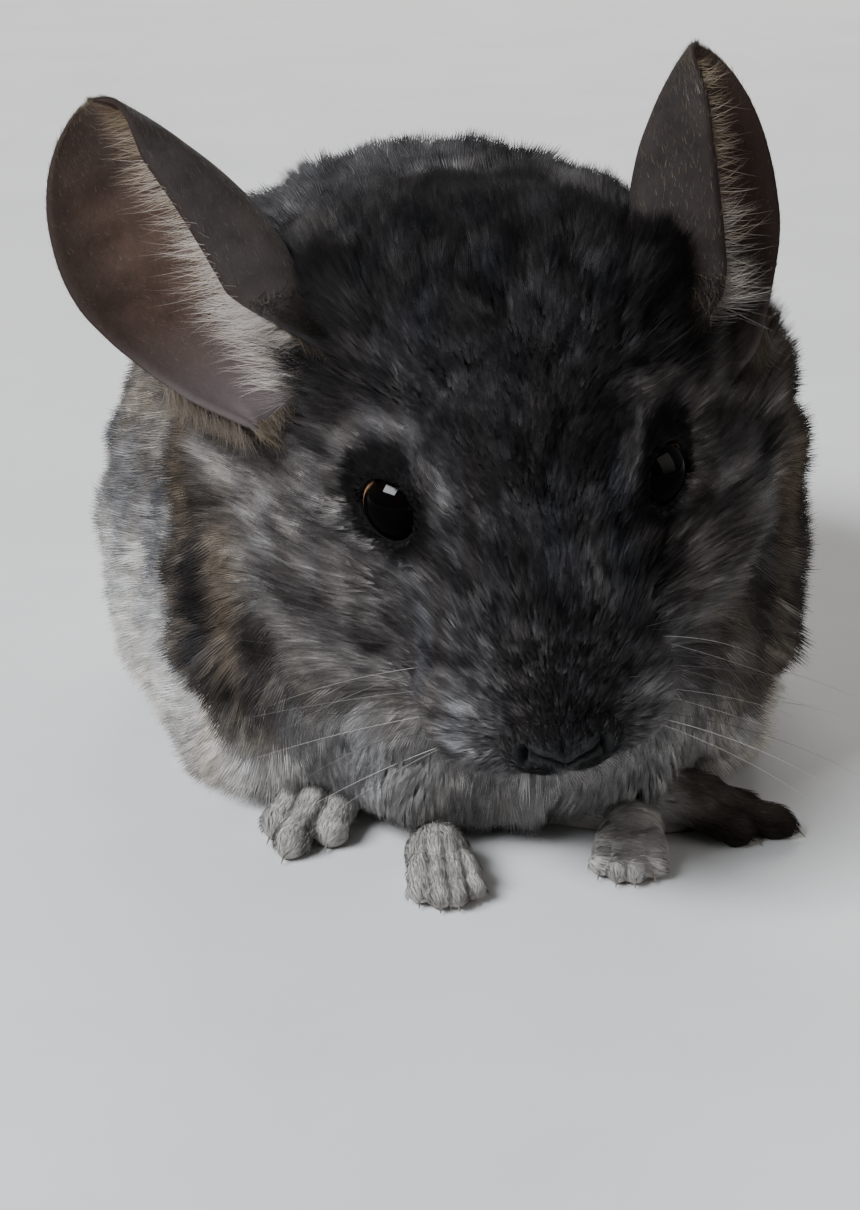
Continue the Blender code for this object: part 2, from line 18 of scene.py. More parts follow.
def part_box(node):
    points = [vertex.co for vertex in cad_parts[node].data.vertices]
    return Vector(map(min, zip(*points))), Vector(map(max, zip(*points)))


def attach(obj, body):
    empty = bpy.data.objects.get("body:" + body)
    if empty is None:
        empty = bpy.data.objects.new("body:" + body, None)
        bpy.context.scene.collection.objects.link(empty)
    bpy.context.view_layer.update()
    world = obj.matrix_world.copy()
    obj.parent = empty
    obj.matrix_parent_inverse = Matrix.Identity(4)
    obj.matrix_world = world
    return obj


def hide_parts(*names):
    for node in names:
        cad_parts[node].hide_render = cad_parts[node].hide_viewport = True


bl_info = {
    "name": "Crouching chinchilla",
    "version": (1, 0, 0),
    "blender": (4, 5, 0),
    "location": "View3D > Sidebar > Chinchilla",
    "description": "Builds the skin, coat, ears, eyes, nose, paws and whiskers of a chinchilla",
    "category": "Add Mesh",
}

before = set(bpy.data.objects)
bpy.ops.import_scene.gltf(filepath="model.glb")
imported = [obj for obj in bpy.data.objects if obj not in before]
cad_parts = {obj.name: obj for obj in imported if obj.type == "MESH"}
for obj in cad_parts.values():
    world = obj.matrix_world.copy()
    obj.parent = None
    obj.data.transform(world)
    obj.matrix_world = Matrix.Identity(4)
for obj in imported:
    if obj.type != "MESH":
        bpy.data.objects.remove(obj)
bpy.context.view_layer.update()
MM = 0.001
# Points of one seam or pole lie closer together than this, in metres.
SEAM = 1e-6

# The head's place in the body's frame, and the eyes and the nose in the head's own frame.
EYE_HEIGHT = 64
HEAD_PITCH = math.radians(58)
HEAD_ROLL = math.radians(-5.5)
EYE_SPACING = 35.5
EYE_MIDDLE = (0, -1.4, 5.9)
EYE_LOOK = (0.72, -0.42, 0.55)
EYE_RADIUS = 6.2
SNOUT_LENGTH = 40
NOSE_PAD = (8.8, 4.6, 4.8)


def middle_of(node):
    """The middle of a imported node's box, in millimetres."""
    low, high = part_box(node)
    return (low + high) / (2 * MM)


HEAD = (
    Matrix.Translation((0, 0, EYE_HEIGHT))
    @ Matrix.Rotation(HEAD_ROLL, 4, "Y")
    @ Matrix.Rotation(HEAD_PITCH, 4, "X")
)
HEAD_TURN = np.array(HEAD.to_3x3())
HEAD_PLACE = np.array(HEAD.translation)
# The place of the body frame's origin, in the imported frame.
SHIFT = np.array((middle_of("eye_left") + middle_of("eye_right")) / 2 - HEAD @ Vector(EYE_MIDDLE))


def in_body(points):
    """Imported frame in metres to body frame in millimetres."""
    return points / MM - SHIFT


def in_head(points):
    """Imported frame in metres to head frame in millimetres."""
    return (in_body(points) - HEAD_PLACE) @ HEAD_TURN


def from_body(points):
    """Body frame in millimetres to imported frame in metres."""
    return (np.asarray(points, float) + SHIFT) * MM


def from_head(points):
    """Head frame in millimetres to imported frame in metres."""
    return from_body(np.asarray(points, float) @ HEAD_TURN.T + HEAD_PLACE)


def mirrored(head):
    """Points of the head's frame with their left and right sides folded together."""
    return np.stack([abs(head[:, 0]), head[:, 1], head[:, 2]], -1)


# Helpers on arrays


def unit(vectors):
    """Each vector divided by its length."""
    return vectors / np.maximum(np.linalg.norm(vectors, axis=-1, keepdims=True), 1e-12)


def ease(values, low, high):
    """0 below low, 1 above high, and a smooth step between."""
    t = np.clip((values - low) / (high - low), 0, 1)
    return t * t * (3 - 2 * t)


def mix(a, b, share):
    """The value that lies the given share of the way from a to b."""
    return a + (b - a) * share


def along_skin(way, normal):
    """The part of each direction that lies in the skin, as unit vectors."""
    return unit(way - (way * normal).sum(1, keepdims=True) * normal)


def waves(points, size, seed, count=7):
    """A smooth random field from -1 to 1: a mean of sines along random directions, about size long."""
    rng = np.random.default_rng(seed)
    total = np.zeros(len(points))
    for _ in range(count):
        way = unit(rng.normal(size=3)) * (2 * math.pi / (size * rng.uniform(0.7, 1.5)))
        total += np.sin(points @ way + rng.uniform(0, 2 * math.pi))
    return total / math.sqrt(count)


def mesh_object(name, points, faces, uv=None, values=None, normals=None):
    """An object at the origin from arrays: points in metres, faces of equal length, values per point.

    The map's places are given per point, or per corner of the faces.
    """
    mesh = bpy.data.meshes.new(name)
    mesh.vertices.add(len(points))
    mesh.vertices.foreach_set("co", np.ascontiguousarray(points, np.float32).ravel())
    mesh.loops.add(faces.size)
    mesh.loops.foreach_set("vertex_index", faces.astype(np.int32).ravel())
    mesh.polygons.add(len(faces))
    starts = np.arange(0, faces.size, faces.shape[1], dtype=np.int32)
    mesh.polygons.foreach_set("loop_start", starts)
    mesh.update(calc_edges=True)
    if uv is not None:
        layer = mesh.uv_layers.new(name="OFBake")
        corners = uv[faces.ravel()] if len(uv) == len(points) else uv
        layer.uv.foreach_set("vector", corners.astype(np.float32).ravel())
    set_values(mesh, values or {})
    if normals is not None:
        attribute = mesh.attributes.new("custom_normal", "FLOAT_VECTOR", "POINT")
        attribute.data.foreach_set("vector", normals.astype(np.float32).ravel())
    mesh.shade_smooth()
    obj = bpy.data.objects.new(name, mesh)
    bpy.context.scene.collection.objects.link(obj)
    return obj


def set_values(mesh, values):
    """Keeps a number for each point under each name, for a material to read."""
    for key, value in values.items():
        mesh.attributes.new(key, "FLOAT", "POINT").data.foreach_set("value", value.astype(np.float32))


def finish_piece(obj, material, slot, *nodes):
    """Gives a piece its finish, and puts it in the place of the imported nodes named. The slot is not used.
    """
    obj.data.materials.append(material)
    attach(obj, "root")
    if nodes:
        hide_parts(*nodes)
    return obj


def face_outwards(obj, merge=None):
    """Turns all faces outwards, after points that are closer than merge are made one."""
    shape = bmesh.new()
    shape.from_mesh(obj.data)
    if merge is not None:
        bmesh.ops.remove_doubles(shape, verts=shape.verts, dist=merge)
    bmesh.ops.recalc_face_normals(shape, faces=shape.faces)
    shape.to_mesh(obj.data)
    shape.free()
    obj.data.shade_smooth()


def grid_faces(rows, columns, closed=False):
    """Quads of a grid of points, row by row. A closed grid joins its last column to its first."""
    row, column = np.meshgrid(np.arange(rows - 1), np.arange(columns - (not closed)), indexing="ij")
    after = (column + 1) % columns
    here, below = row * columns, (row + 1) * columns
    quad = [here + column, here + after, below + after, below + column]
    return np.stack(quad, -1).reshape(-1, 4)


def round_grid(rings, steps):
    """The angle from the pole and the angle round it, for a grid of points over a round form."""
    polar = np.linspace(0, math.pi, rings)
    return np.meshgrid(polar, np.linspace(0, 2 * math.pi, steps, endpoint=False), indexing="ij")


def points_of(mesh):
    """A mesh's points as an array, in metres."""
    points = np.empty(len(mesh.vertices) * 3, np.float32)
    mesh.vertices.foreach_get("co", points)
    return points.reshape(-1, 3).astype(float)


def normals_of(mesh):
    """A mesh's unit normals at its points, as an array."""
    normals = np.empty(len(mesh.vertices) * 3, np.float32)
    mesh.vertex_normals.foreach_get("vector", normals)
    return normals.reshape(-1, 3).astype(float)


def edges_of(mesh):
    """The numbers of both ends of each of a mesh's edges, as an array."""
    edges = np.empty(len(mesh.edges) * 2, np.int32)
    mesh.edges.foreach_get("vertices", edges)
    return edges.reshape(-1, 2)


def spread(values, edges, rounds):
    """Evens values out over the mesh: each round moves a point half way to its neighbours' mean."""
    count = len(values)
    ends = np.concatenate([edges, edges[:, ::-1]])
    near = np.maximum(np.bincount(ends[:, 0], minlength=count), 1)
    flat = values.reshape(count, -1)
    for _ in range(rounds):
        sums = [np.bincount(ends[:, 0], weights=v, minlength=count) for v in flat[ends[:, 1]].T]
        flat = (flat + np.stack(sums, -1) / near[:, None]) / 2
    return flat.reshape(values.shape)


def smooth_line(points, count):
    """Points spaced evenly over a smooth curve through the given ones, in cubic pieces."""
    points = np.array(points, float)
    ends = np.vstack([2 * points[0] - points[1], points, 2 * points[-1] - points[-2]])
    spans = len(points) - 1
    where = np.linspace(0, spans, count)
    span = np.minimum(where.astype(int), spans - 1)
    t = (where - span)[:, None]
    a, b, c, d = (ends[span + k] for k in range(4))
    bend = 2 * a - 5 * b + 4 * c - d
    return 0.5 * (2 * b + (c - a) * t + bend * t**2 + (3 * b - a - 3 * c + d) * t**3)


def nearest_of(points, seeds):
    """For each point, the number of the nearest seed and how far away it is."""
    tree = kdtree.KDTree(len(seeds))
    for number, seed in enumerate(seeds):
        tree.insert(seed, number)
    tree.balance()
    found = [tree.find(point) for point in points]
    number = np.fromiter((f[1] for f in found), np.int64, len(points))
    return number, np.fromiter((f[2] for f in found), float, len(points))


def add_form(shape, points, faces):
    """Adds a surface, given in the body's frame, to a bmesh."""
    made = mesh_object("form", from_body(points), faces)
    shape.from_mesh(made.data)
    bpy.data.objects.remove(made)


def fused(shape, voxel, rounds, swell=0.0):
    """The forms in a bmesh as one mesh: they swell along their normals, are fused in voxels and softened."""
    mesh = bpy.data.meshes.new("forms")
    shape.to_mesh(mesh)
    shape.free()
    obj = bpy.data.objects.new("forms", mesh)
    bpy.context.scene.collection.objects.link(obj)
    if swell:
        widen = obj.modifiers.new("widen", "DISPLACE")
        widen.strength = swell * MM
        widen.mid_level = 0
    fuse = obj.modifiers.new("fuse", "REMESH")
    fuse.mode = "VOXEL"
    fuse.voxel_size = voxel * MM
    soften = obj.modifiers.new("soften", "SMOOTH")
    soften.factor = 0.5
    soften.iterations = rounds
    bpy.context.view_layer.update()
    made = bpy.data.meshes.new_from_object(obj.evaluated_get(bpy.context.evaluated_depsgraph_get()))
    bpy.data.objects.remove(obj)
    return made


# The skin

# The regions of the body, and the region that each flesh node belongs to.
TORSO, NECK, SKULL, FORELEG, HIND_LEG, TAIL = range(6)
FLESH = {
    "torso": TORSO, "neck": NECK, "head": SKULL, "foreleg_left": FORELEG, "foreleg_right": FORELEG,
    "hind_leg_left": HIND_LEG, "hind_leg_right": HIND_LEG, "tail": TAIL,
}
# The tail's middle line, and the radius of its brush at the fullest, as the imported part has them.
TAIL_LINE = [(0, 138, 27), (1, 160, 20), (6, 184, 18.5), (17, 210, 18.5), (33, 234, 17.5), (50, 254, 16)]
TAIL_BRUSH = 21
TAIL_STEPS, TAIL_SIDES = 41, 24
# How far each node swells to close the gap to the next one, and how high the skin keeps off the floor.
NODE_SWELL = 0.35
SKIN_CLEARANCE = 1.0


def brush_radius(share):
    """The brush's radius out to the tips of its hair, from the tail's root to its end."""
    fullness = 0.45 + 0.55 * np.sin(np.clip(share / 0.7, 0, 1) * math.pi / 2)
    return TAIL_BRUSH * fullness * np.sqrt(1 - np.clip((share - 0.6) / 0.4, 0, 1) ** 2 * 0.92)


def outline_mesh(voxel):
    """One closed surface round all the flesh: nodes swell over their gaps, and are fused.

    The tail's locks are left out, and a round tube as wide as its brush takes their place.
    """
    shape = bmesh.new()
    for node in FLESH:
        if node != "tail":
            shape.from_mesh(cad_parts[node].data)
    line = smooth_line(TAIL_LINE, TAIL_STEPS)
    radii = brush_radius(np.linspace(0, 1, TAIL_STEPS))
    add_form(shape, *swept(line[None], radii[None], TAIL_SIDES)[:2])
    bmesh.ops.remove_doubles(shape, verts=shape.verts, dist=SEAM)
    return fused(shape, voxel, 5, NODE_SWELL)


def fields_of(mesh, region, edges):
    """What the coat does at each point of the outline, as arrays.

    Height is how far the coat stands off the skin, run is how far its tips lie along the skin, and
    the rest are the direction that it lies in, its tufts' width, how close they stand and how far
    apart the clumps are. Each is set for every region, and evened out over the borders.
    """
    points, normal = points_of(mesh), normals_of(mesh)
    body, head = in_body(points), in_head(points)
    share = spread((region[:, None] == np.arange(TAIL + 1)).astype(float), edges, 12)
    share /= share.sum(axis=1, keepdims=True)
    trunk = share[:, TORSO] + share[:, HIND_LEG]
    neck, skull, foreleg, brush = share[:, [NECK, SKULL, FORELEG, TAIL]].T

    coat = bpy.context.scene.chinchilla_coat
    snout = ease(-head[:, 1], -4, 34)
    crown = ease(head[:, 2], 6, 18)
    eye = np.minimum(*[np.linalg.norm(head - eye_centre(s), axis=1) for s in (1, -1)])
    near_eye = 1 - ease(eye, 7.5, 15)
    face_depth = mix(6.5, 1.0, snout) + 2.5 * ease(head[:, 1], 5, 30) + 2.0 * ease(abs(head[:, 0]), 18, 34)
    pads = spot(mirrored(head), (15.5, -31, -4), (6, 9, 9))
    face_depth = mix(face_depth, 0.8, near_eye) + 1.6 * pads
    bend = np.clip((body[:, 1] - TAIL_LINE[0][1]) / (TAIL_LINE[-1][1] - TAIL_LINE[0][1]), 0, 1)
    brush_depth = brush_radius(bend) * (0.12 + 0.45 * np.clip(bend / 0.2, 0, 1))
    depth = coat.depth / MM * (trunk + neck) + face_depth * skull + 4.5 * foreleg + brush_depth * brush
    height = depth * (1 + 0.10 * waves(body, 9, 14)) + 0.8 * pads * skull
    face_run = mix(mix(mix(0.8, 0.45, crown), 1.9, snout), 2.0, near_eye)
    run = depth * (0.6 * trunk + 0.5 * neck + face_run * skull + 0.9 * foreleg + 1.5 * brush)

    chin = spot(mirrored(head), (0, -36, -12.5), (14, 10, 9)) * skull
    height *= 1 - 0.65 * chin
    run *= 1 - 0.8 * chin

    from_nose = unit(head - np.array([0, -SNOUT_LENGTH, -4]))
    from_eyes = unit(sum(unit(head - eye_centre(s)) / (1 + eye[:, None] ** 2) for s in (1, -1)))
    face_way = mix(from_nose, from_eyes, 0.7 * near_eye[:, None]) @ HEAD_TURN.T
    face_way = mix(face_way, np.array([0, 1, 0.1]), 0.6 * ease(head[:, 1], 5, 35)[:, None])
    face_way = mix(face_way, np.array([0, 1, 0.2]), np.clip(1.5 * chin, 0, 0.9)[:, None])
    tail_way = np.stack([0.9 * bend, np.ones_like(bend), 0 * bend], -1)
    way = (trunk + neck)[:, None] * np.array([0, 1, -0.55]) + skull[:, None] * face_way
    way += foreleg[:, None] * np.array([0, -0.3, -1]) + brush[:, None] * tail_way
    lie = along_skin(way, normal)
    turn = (0.35 * waves(body, 34, 11) + 0.2 * waves(body, 10, 12)) * (1 - 0.7 * brush)
    turn *= 1 - 0.7 * snout * skull
    lie = lie * np.cos(turn)[:, None] + np.cross(normal, lie) * np.sin(turn)[:, None]

    width = 0.8 * trunk + 0.75 * neck + mix(0.44, 0.26, snout) * skull + 0.45 * foreleg + 0.6 * brush
    closeness = 1.0 * trunk + 1.3 * neck + mix(1.0, 1.6, snout) * skull + 2.5 * foreleg + 1.3 * brush
    clump = 5.5 * trunk + 4.5 * neck + mix(2.6, 1.4, snout) * skull + 3 * foreleg + 5 * brush
    closeness *= ease(eye, 6.2, 7.0)

    ear, axis = near_ears(body)
    height = mix(height, depth + 4.5, ear)
    run = mix(run, 1.0, ear)
    closeness *= 1 + 1.5 * ear
    rise = unit(mix(normal, 0.5 * normal + axis, ear[:, None]))
    return {
        "depth": depth, "height": height, "run": run, "lie": lie, "normal": rise, "width": width,
        "closeness": closeness, "clump": clump, "skull": skull, "brush": brush, "ear": ear,
    }


def near_ears(body):
    """How near each point is to an ear's root, from 1 to 0, and the way that the nearer ear points."""
    roots, axes = [], []
    for side, (root, tip, *_) in EARS.items():
        points, along, _ = ear_sheet(side, 60, 30)
        roots.append(points[(along > 0.0) & (along < 0.12)].reshape(-1, 3))
        axes.append(np.repeat([unit(np.array(tip, float) - root)], len(roots[-1]), axis=0))
    nearest, far = nearest_of(body, np.concatenate(roots))
    return 1 - ease(far, 5, 10), np.concatenate(axes)[nearest]


def eye_centre(sign):
    """The middle of an eyeball, in the head's frame."""
    return np.array([sign * EYE_SPACING / 2, EYE_MIDDLE[1], EYE_MIDDLE[2]])


def spot(points, centre, radii):
    """A soft spot: 1 at its centre, and falling like a bell curve over its three radii."""
    return np.exp(-(((points - np.array(centre)) / np.array(radii)) ** 2).sum(axis=1))


def near_line(points, line, radius):
    """A soft band: 1 on the line through the given points, and falling like a bell curve away from it."""
    far = np.full(len(points), np.inf)
    for start, end in zip(np.array(line[:-1], float), np.array(line[1:], float)):
        along = np.clip((points - start) @ (end - start) / ((end - start) @ (end - start)), 0, 1)
        far = np.minimum(far, np.linalg.norm(points - start - along[:, None] * (end - start), axis=1))
    return np.exp(-((far / radius) ** 2))


def markings(points, skull, brush, ear):
    """The coat's tone, from 0 for black to 1 for white, and its warmth, from 0 for blue grey to 1 for tan.

    The back is dark and the flanks pale towards the floor, with brownish bands across the roll of
    the neck. On the head, soft spots in the head's frame are mixed in one after another: the dark
    crown, the silver cheeks, the grey whisker pads with painted shade in the crease above them, the
    pale jaw, painted shade in the pits round the eyes, a grey arc over each, and the dark fur above
    the nose.
    """
    body, head = in_body(points), in_head(points)
    back, up = body[:, 1], body[:, 2]
    side, ahead, low = abs(head[:, 0]), -head[:, 1], -head[:, 2]
    folded = mirrored(head)
    bands = waves(body * np.array([1, 1, 0.12]), 9, 5)
    patches = waves(body, 13, 8)
    flecks = 0.65 * waves(body, 5, 9) + 0.55 * waves(body, 2, 10)

    tone = mix(0.98, 0.62, ease(up, 12, 52))
    tone = mix(tone, mix(0.16, 0.40, ease(back, 36, 70)), ease(up, 50, 84))
    roll = (1 - ease(back - 0.3 * up, 20, 31)) * ease(up, 9, 22)
    tone = mix(tone, 0.38, roll)
    tone += (0.06 + 0.02 * roll) * bands * ease(up, 10, 30)
    tone += (0.04 * patches + 0.05 * flecks) * ease(up, 10, 40)
    chest = (1 - ease(abs(body[:, 0]), 28, 44)) * (1 - ease(back, 18, 40)) * (1 - ease(up, 18, 42))
    tone = mix(tone, 0.70, chest)
    warm = 0.25 + 0.25 * bands + 0.35 * roll + 0.3 * (1 - ease(up, 8, 22)) + 0.3 * ease(up, 45, 60)
    warm *= (1 - 0.8 * ease(up, 72, 90)) * (1 - 0.7 * chest)

    face = 0.15 + 0.05 * patches + 0.06 * flecks
    face = mix(face, 0.27 + 0.04 * patches + 0.06 * flecks, ease(side, 2, 9) * ease(ahead, -2, 12))
    face = mix(face, 0.30 + 0.08 * patches + 0.10 * flecks, ease(side, 10, 17) * ease(low, -12, -2))
    face = mix(face, 0.45 + 0.08 * patches + 0.12 * flecks, ease(side, 20, 27) * ease(low, -12, 0))
    pad = spot(folded, (15.5, -32, -3), (7, 12, 9))
    face = mix(face, 0.53 + 0.07 * flecks, pad)
    face = mix(face, 0.60, ease(low + 7 * ease(ahead, 18, 28), 8, 22) * ease(ahead, -30, 0))
    # Painted shade: a dark line along the crease between each cheek and its whisker pad.
    fold = near_line(folded, [(27, -18, -9), (20, -21, -3), (14, -24, 3)], 1.8)
    face = mix(face, 0.10, 0.8 * fold)
    # Painted shade: the coat round each eye turns black, as in the pit that the eye sits in.
    ring = np.linalg.norm(folded - eye_centre(1) - np.array([1.0, 2.2, 0]), axis=1)
    face = mix(face, -0.14, 1 - ease(ring, 8.5, 11.5))
    arc = near_line(folded, [(29, 9, 8), (23, 10.5, 14.5), (18, 6, 17), (14.5, -3, 16.5)], 2.8)
    face = mix(face, 0.48, arc)
    face = mix(face, 0.08, 0.6 * spot(folded, (5, 2, 20), (6, 8, 7)))
    face = mix(face, 0.04, spot(folded, (0, -38, 3), (9, 8, 6)))
    face = mix(face, 0.42, 0.8 * spot(folded, (0, -42, -8), (11, 5, 5)))
    tone = mix(tone, face, skull)
    warm = mix(warm, 0.2 + 0.12 * bands + 0.15 * ease(side, 18, 28), skull)
    tail_tone = 0.38 + 0.30 * (1 - ease(up, 6, 20)) + 0.2 * waves(body, 9, 21)
    tone = mix(tone, tail_tone, brush)
    behind = ear * ease(side, 34, 43)
    tone = mix(tone, mix(0.14, 0.52, ease(side, 34, 43)), 0.8 * ear)
    warm = mix(warm, 0.75, 0.8 * behind)
    return np.clip(tone, -0.14, 1), np.clip(warm, 0, 1)


class Surface:
    """Arrays of a skin, ready to root tufts on: its triangles, their corners' unwrap, and its fields."""

    def __init__(self, obj, fields):
        mesh = obj.data
        mesh.calc_loop_triangles()
        loops = np.empty(len(mesh.loop_triangles) * 3, np.int32)
        mesh.loop_triangles.foreach_get("loops", loops)
        vertex = np.empty(len(mesh.loops), np.int32)
        mesh.loops.foreach_get("vertex_index", vertex)
        uv = np.empty(len(mesh.loops) * 2, np.float32)
        mesh.uv_layers["OFBake"].uv.foreach_get("vector", uv)
        self.corner_uv = uv.reshape(-1, 2)[loops].reshape(-1, 3, 2)
        self.triangles = vertex[loops].reshape(-1, 3)
        self.points = points_of(mesh)
        self.fields = fields
        a, b, c = (self.points[self.triangles[:, k]] for k in range(3))
        self.area = np.linalg.norm(np.cross(b - a, c - a), axis=1) / 2 / MM**2
        self.middle = (a + b + c) / 3

    def at(self, values, chosen, parts):
        """Values at points given by their triangle and their three shares of its corners."""
        corners = values[self.triangles[chosen]]
        return np.einsum("nk,nk...->n...", parts, corners)

    def scatter(self, count, where, rng):
        """Points spread over the triangles, most where tufts stand closest, and how far apart they are."""
        weight = self.area * where * self.fields["closeness"][self.triangles].mean(axis=1)
        total = np.cumsum(weight)
        steps = (np.arange(count) + rng.uniform(size=count)) * (total[-1] / count)
        chosen = np.minimum(np.searchsorted(total, steps), len(total) - 1)
        root = np.sqrt(rng.uniform(size=count))
        other = rng.uniform(size=count)
        parts = np.stack([1 - root, root * (1 - other), root * other], -1)
        near = self.fields["closeness"][self.triangles[chosen]].mean(axis=1)
        apart = 1 / np.maximum(count * near / total[-1], 1e-9)
        return chosen, parts, apart


def unwrap(obj):
    """Unwraps the whole mesh into flat charts on the map OFBake."""
    bpy.context.view_layer.objects.active = obj
    for other in bpy.context.selected_objects:
        other.select_set(False)
    obj.select_set(True)
    bpy.ops.object.mode_set(mode="EDIT")
    bpy.ops.mesh.select_all(action="SELECT")
    bpy.ops.uv.smart_project(angle_limit=1.15, island_margin=0.002)
    bpy.ops.object.mode_set(mode="OBJECT")
    obj.data.uv_layers[0].name = "OFBake"


# The coat

# How many corners a tuft has, and the size of a hair's patch on the map of what it stands on.
TUFT_POINTS = 9
PATCH = 0.003
# Where the coat is cut into pieces, in millimetres: the chest ends behind the first, the back starts
# above the second or behind the third, and the face ends behind the fourth, in the head's frame.
CHEST_END, BACK_HEIGHT, RUMP, FACE_END = 48, 78, 128, -4


def clump_centres(tips, apart, clump, rng):
    """For each tip, which tip is the middle of the clump that it belongs to."""
    picked = np.flatnonzero(rng.uniform(size=len(tips)) < np.clip(apart / clump**2, 0.002, 0.5))
    return picked[nearest_of(tips, tips[picked])[0]]


def coat_markings(tips, take):
    """The markings at the tufts' tips, from what each tuft takes over from the skin at its root."""
    return markings(tips, take["skull"], take["brush"], take["ear"])


def tuft_arrays(surface, count, where, seed, colours):
    """Tufts as fans of seven triangles: two points at the root, four half way up and three tips.

    A tuft rises from its root along the normal, bends over along the lie of the coat, and ends at
    root + height * normal + run * lie. Its tips draw towards the middle of its clump, and its
    shading normals lean away from there, so that each clump looks round.
    """
    rng = np.random.default_rng(seed)
    coat = bpy.context.scene.chinchilla_coat
    chosen, parts, apart = surface.scatter(count, where, rng)
    take = {key: surface.at(value, chosen, parts) for key, value in surface.fields.items()}
    root = surface.at(surface.points, chosen, parts)
    uv = np.einsum("nk,nkc->nc", parts, surface.corner_uv[chosen])
    normal, lie = unit(take["normal"]), unit(take["lie"])
    height, run = take["height"] * MM, take["run"] * MM
    width = take["width"] * MM * coat.tuft_width * rng.uniform(0.75, 1.25, count)

    tip = root + normal * height[:, None] + lie * run[:, None]
    centre = clump_centres(tip, apart, take["clump"], rng)
    toward = tip[centre] - tip
    toward -= (toward * normal).sum(1, keepdims=True) * normal
    size = take["clump"] * MM
    far = np.linalg.norm(toward, axis=1) / size
    pull = coat.clumping * np.exp(-((far / 1.2) ** 2))
    own = rng.normal(size=(count, 3))
    own -= (own * normal).sum(1, keepdims=True) * normal
    pull *= 1 - take["ear"]
    length = np.hypot(height, run)
    lift = rng.uniform(0.88, 1.04, count) * (1.05 - 0.10 * np.clip(far, 0, 1) ** 2)
    lift *= rng.uniform(0.95, 1.04, count)[centre]
    tip = root + normal * (height * lift)[:, None] + lie * run[:, None] + toward * pull[:, None]
    tip += own * (0.09 * length)[:, None]
    half = root + normal * (0.62 * height * lift)[:, None] + lie * (0.36 * run)[:, None]
    half += toward * (0.3 * pull)[:, None] + own * (0.03 * length)[:, None]

    axis = unit(tip - root)
    side = unit(np.cross(lie, normal))
    roll = rng.uniform(-0.5, 0.5, count)[:, None]
    side = unit(side * np.cos(roll) + np.cross(axis, side) * np.sin(roll))
    points = np.empty((count, TUFT_POINTS, 3))
    for k, across in enumerate((-0.35, 0.35)):
        points[:, k] = root + side * (across * width)[:, None]
    for k, across in enumerate((-0.5, -0.17, 0.17, 0.5)):
        points[:, 2 + k] = half + side * (across * width)[:, None]
    for k, across in enumerate((-0.62, 0, 0.62)):
        reach = rng.uniform(0.82, 1.08, count)[:, None]
        points[:, 6 + k] = half + (tip - half) * reach + side * (across * width)[:, None]
    ground = (0.15 + 0.5 * rng.uniform(size=(count, TUFT_POINTS))) * MM
    points[..., 2] = np.maximum(points[..., 2], ground)

    faces = np.array([(0, 3, 2), (0, 1, 3), (1, 4, 3), (1, 5, 4), (2, 3, 6), (3, 4, 7), (4, 5, 8)])
    faces = (np.arange(count)[:, None, None] * TUFT_POINTS + faces).reshape(-1, 3)
    along = np.array([0, 0, 0.55, 0.55, 0.55, 0.55, 1, 1, 1])
    across = np.array([-0.2, 0.2, -0.5, -0.17, 0.17, 0.5, -0.4, 0, 0.4])
    patch = np.stack([across, along - 0.5], -1) * PATCH
    shade = normal - toward / size[:, None] * coat.roundness + 0.25 * lie
    shade = unit(shade + 0.18 * rng.normal(size=(count, 3)))
    tone, warm = colours(tip, take)
    chance = rng.normal(size=count)[centre] * 0.05 + rng.normal(size=count) * 0.06
    tone = tone + chance * (1 - 0.6 * take["ear"])
    ear = np.repeat(take["ear"], TUFT_POINTS)
    return {
        "points": points.reshape(-1, 3),
        "faces": faces,
        "uv": (uv[:, None] + patch).reshape(-1, 2),
        "normals": np.repeat(shade, TUFT_POINTS, axis=0),
        "values": {
            "tone": np.repeat(np.clip(tone, 0, 1), TUFT_POINTS),
            "warm": np.repeat(warm, TUFT_POINTS),
            "along": mix(np.tile(along, count), 0.8, 0.7 * ear),
            "chance": 0.5 + np.repeat(rng.uniform(size=count) - 0.5, TUFT_POINTS) * (1 - 0.5 * ear),
        },
    }


def make_coat(name, surface, count, where, seed, material, colours=coat_markings, slot="coat"):
    """One piece of the coat: as many tufts as count, rooted on the triangles that where picks."""
    made = tuft_arrays(surface, count, where, seed, colours)
    obj = mesh_object(name, made["points"], made["faces"], made["uv"], made["values"], made["normals"])
    return finish_piece(obj, material, slot)


# Materials


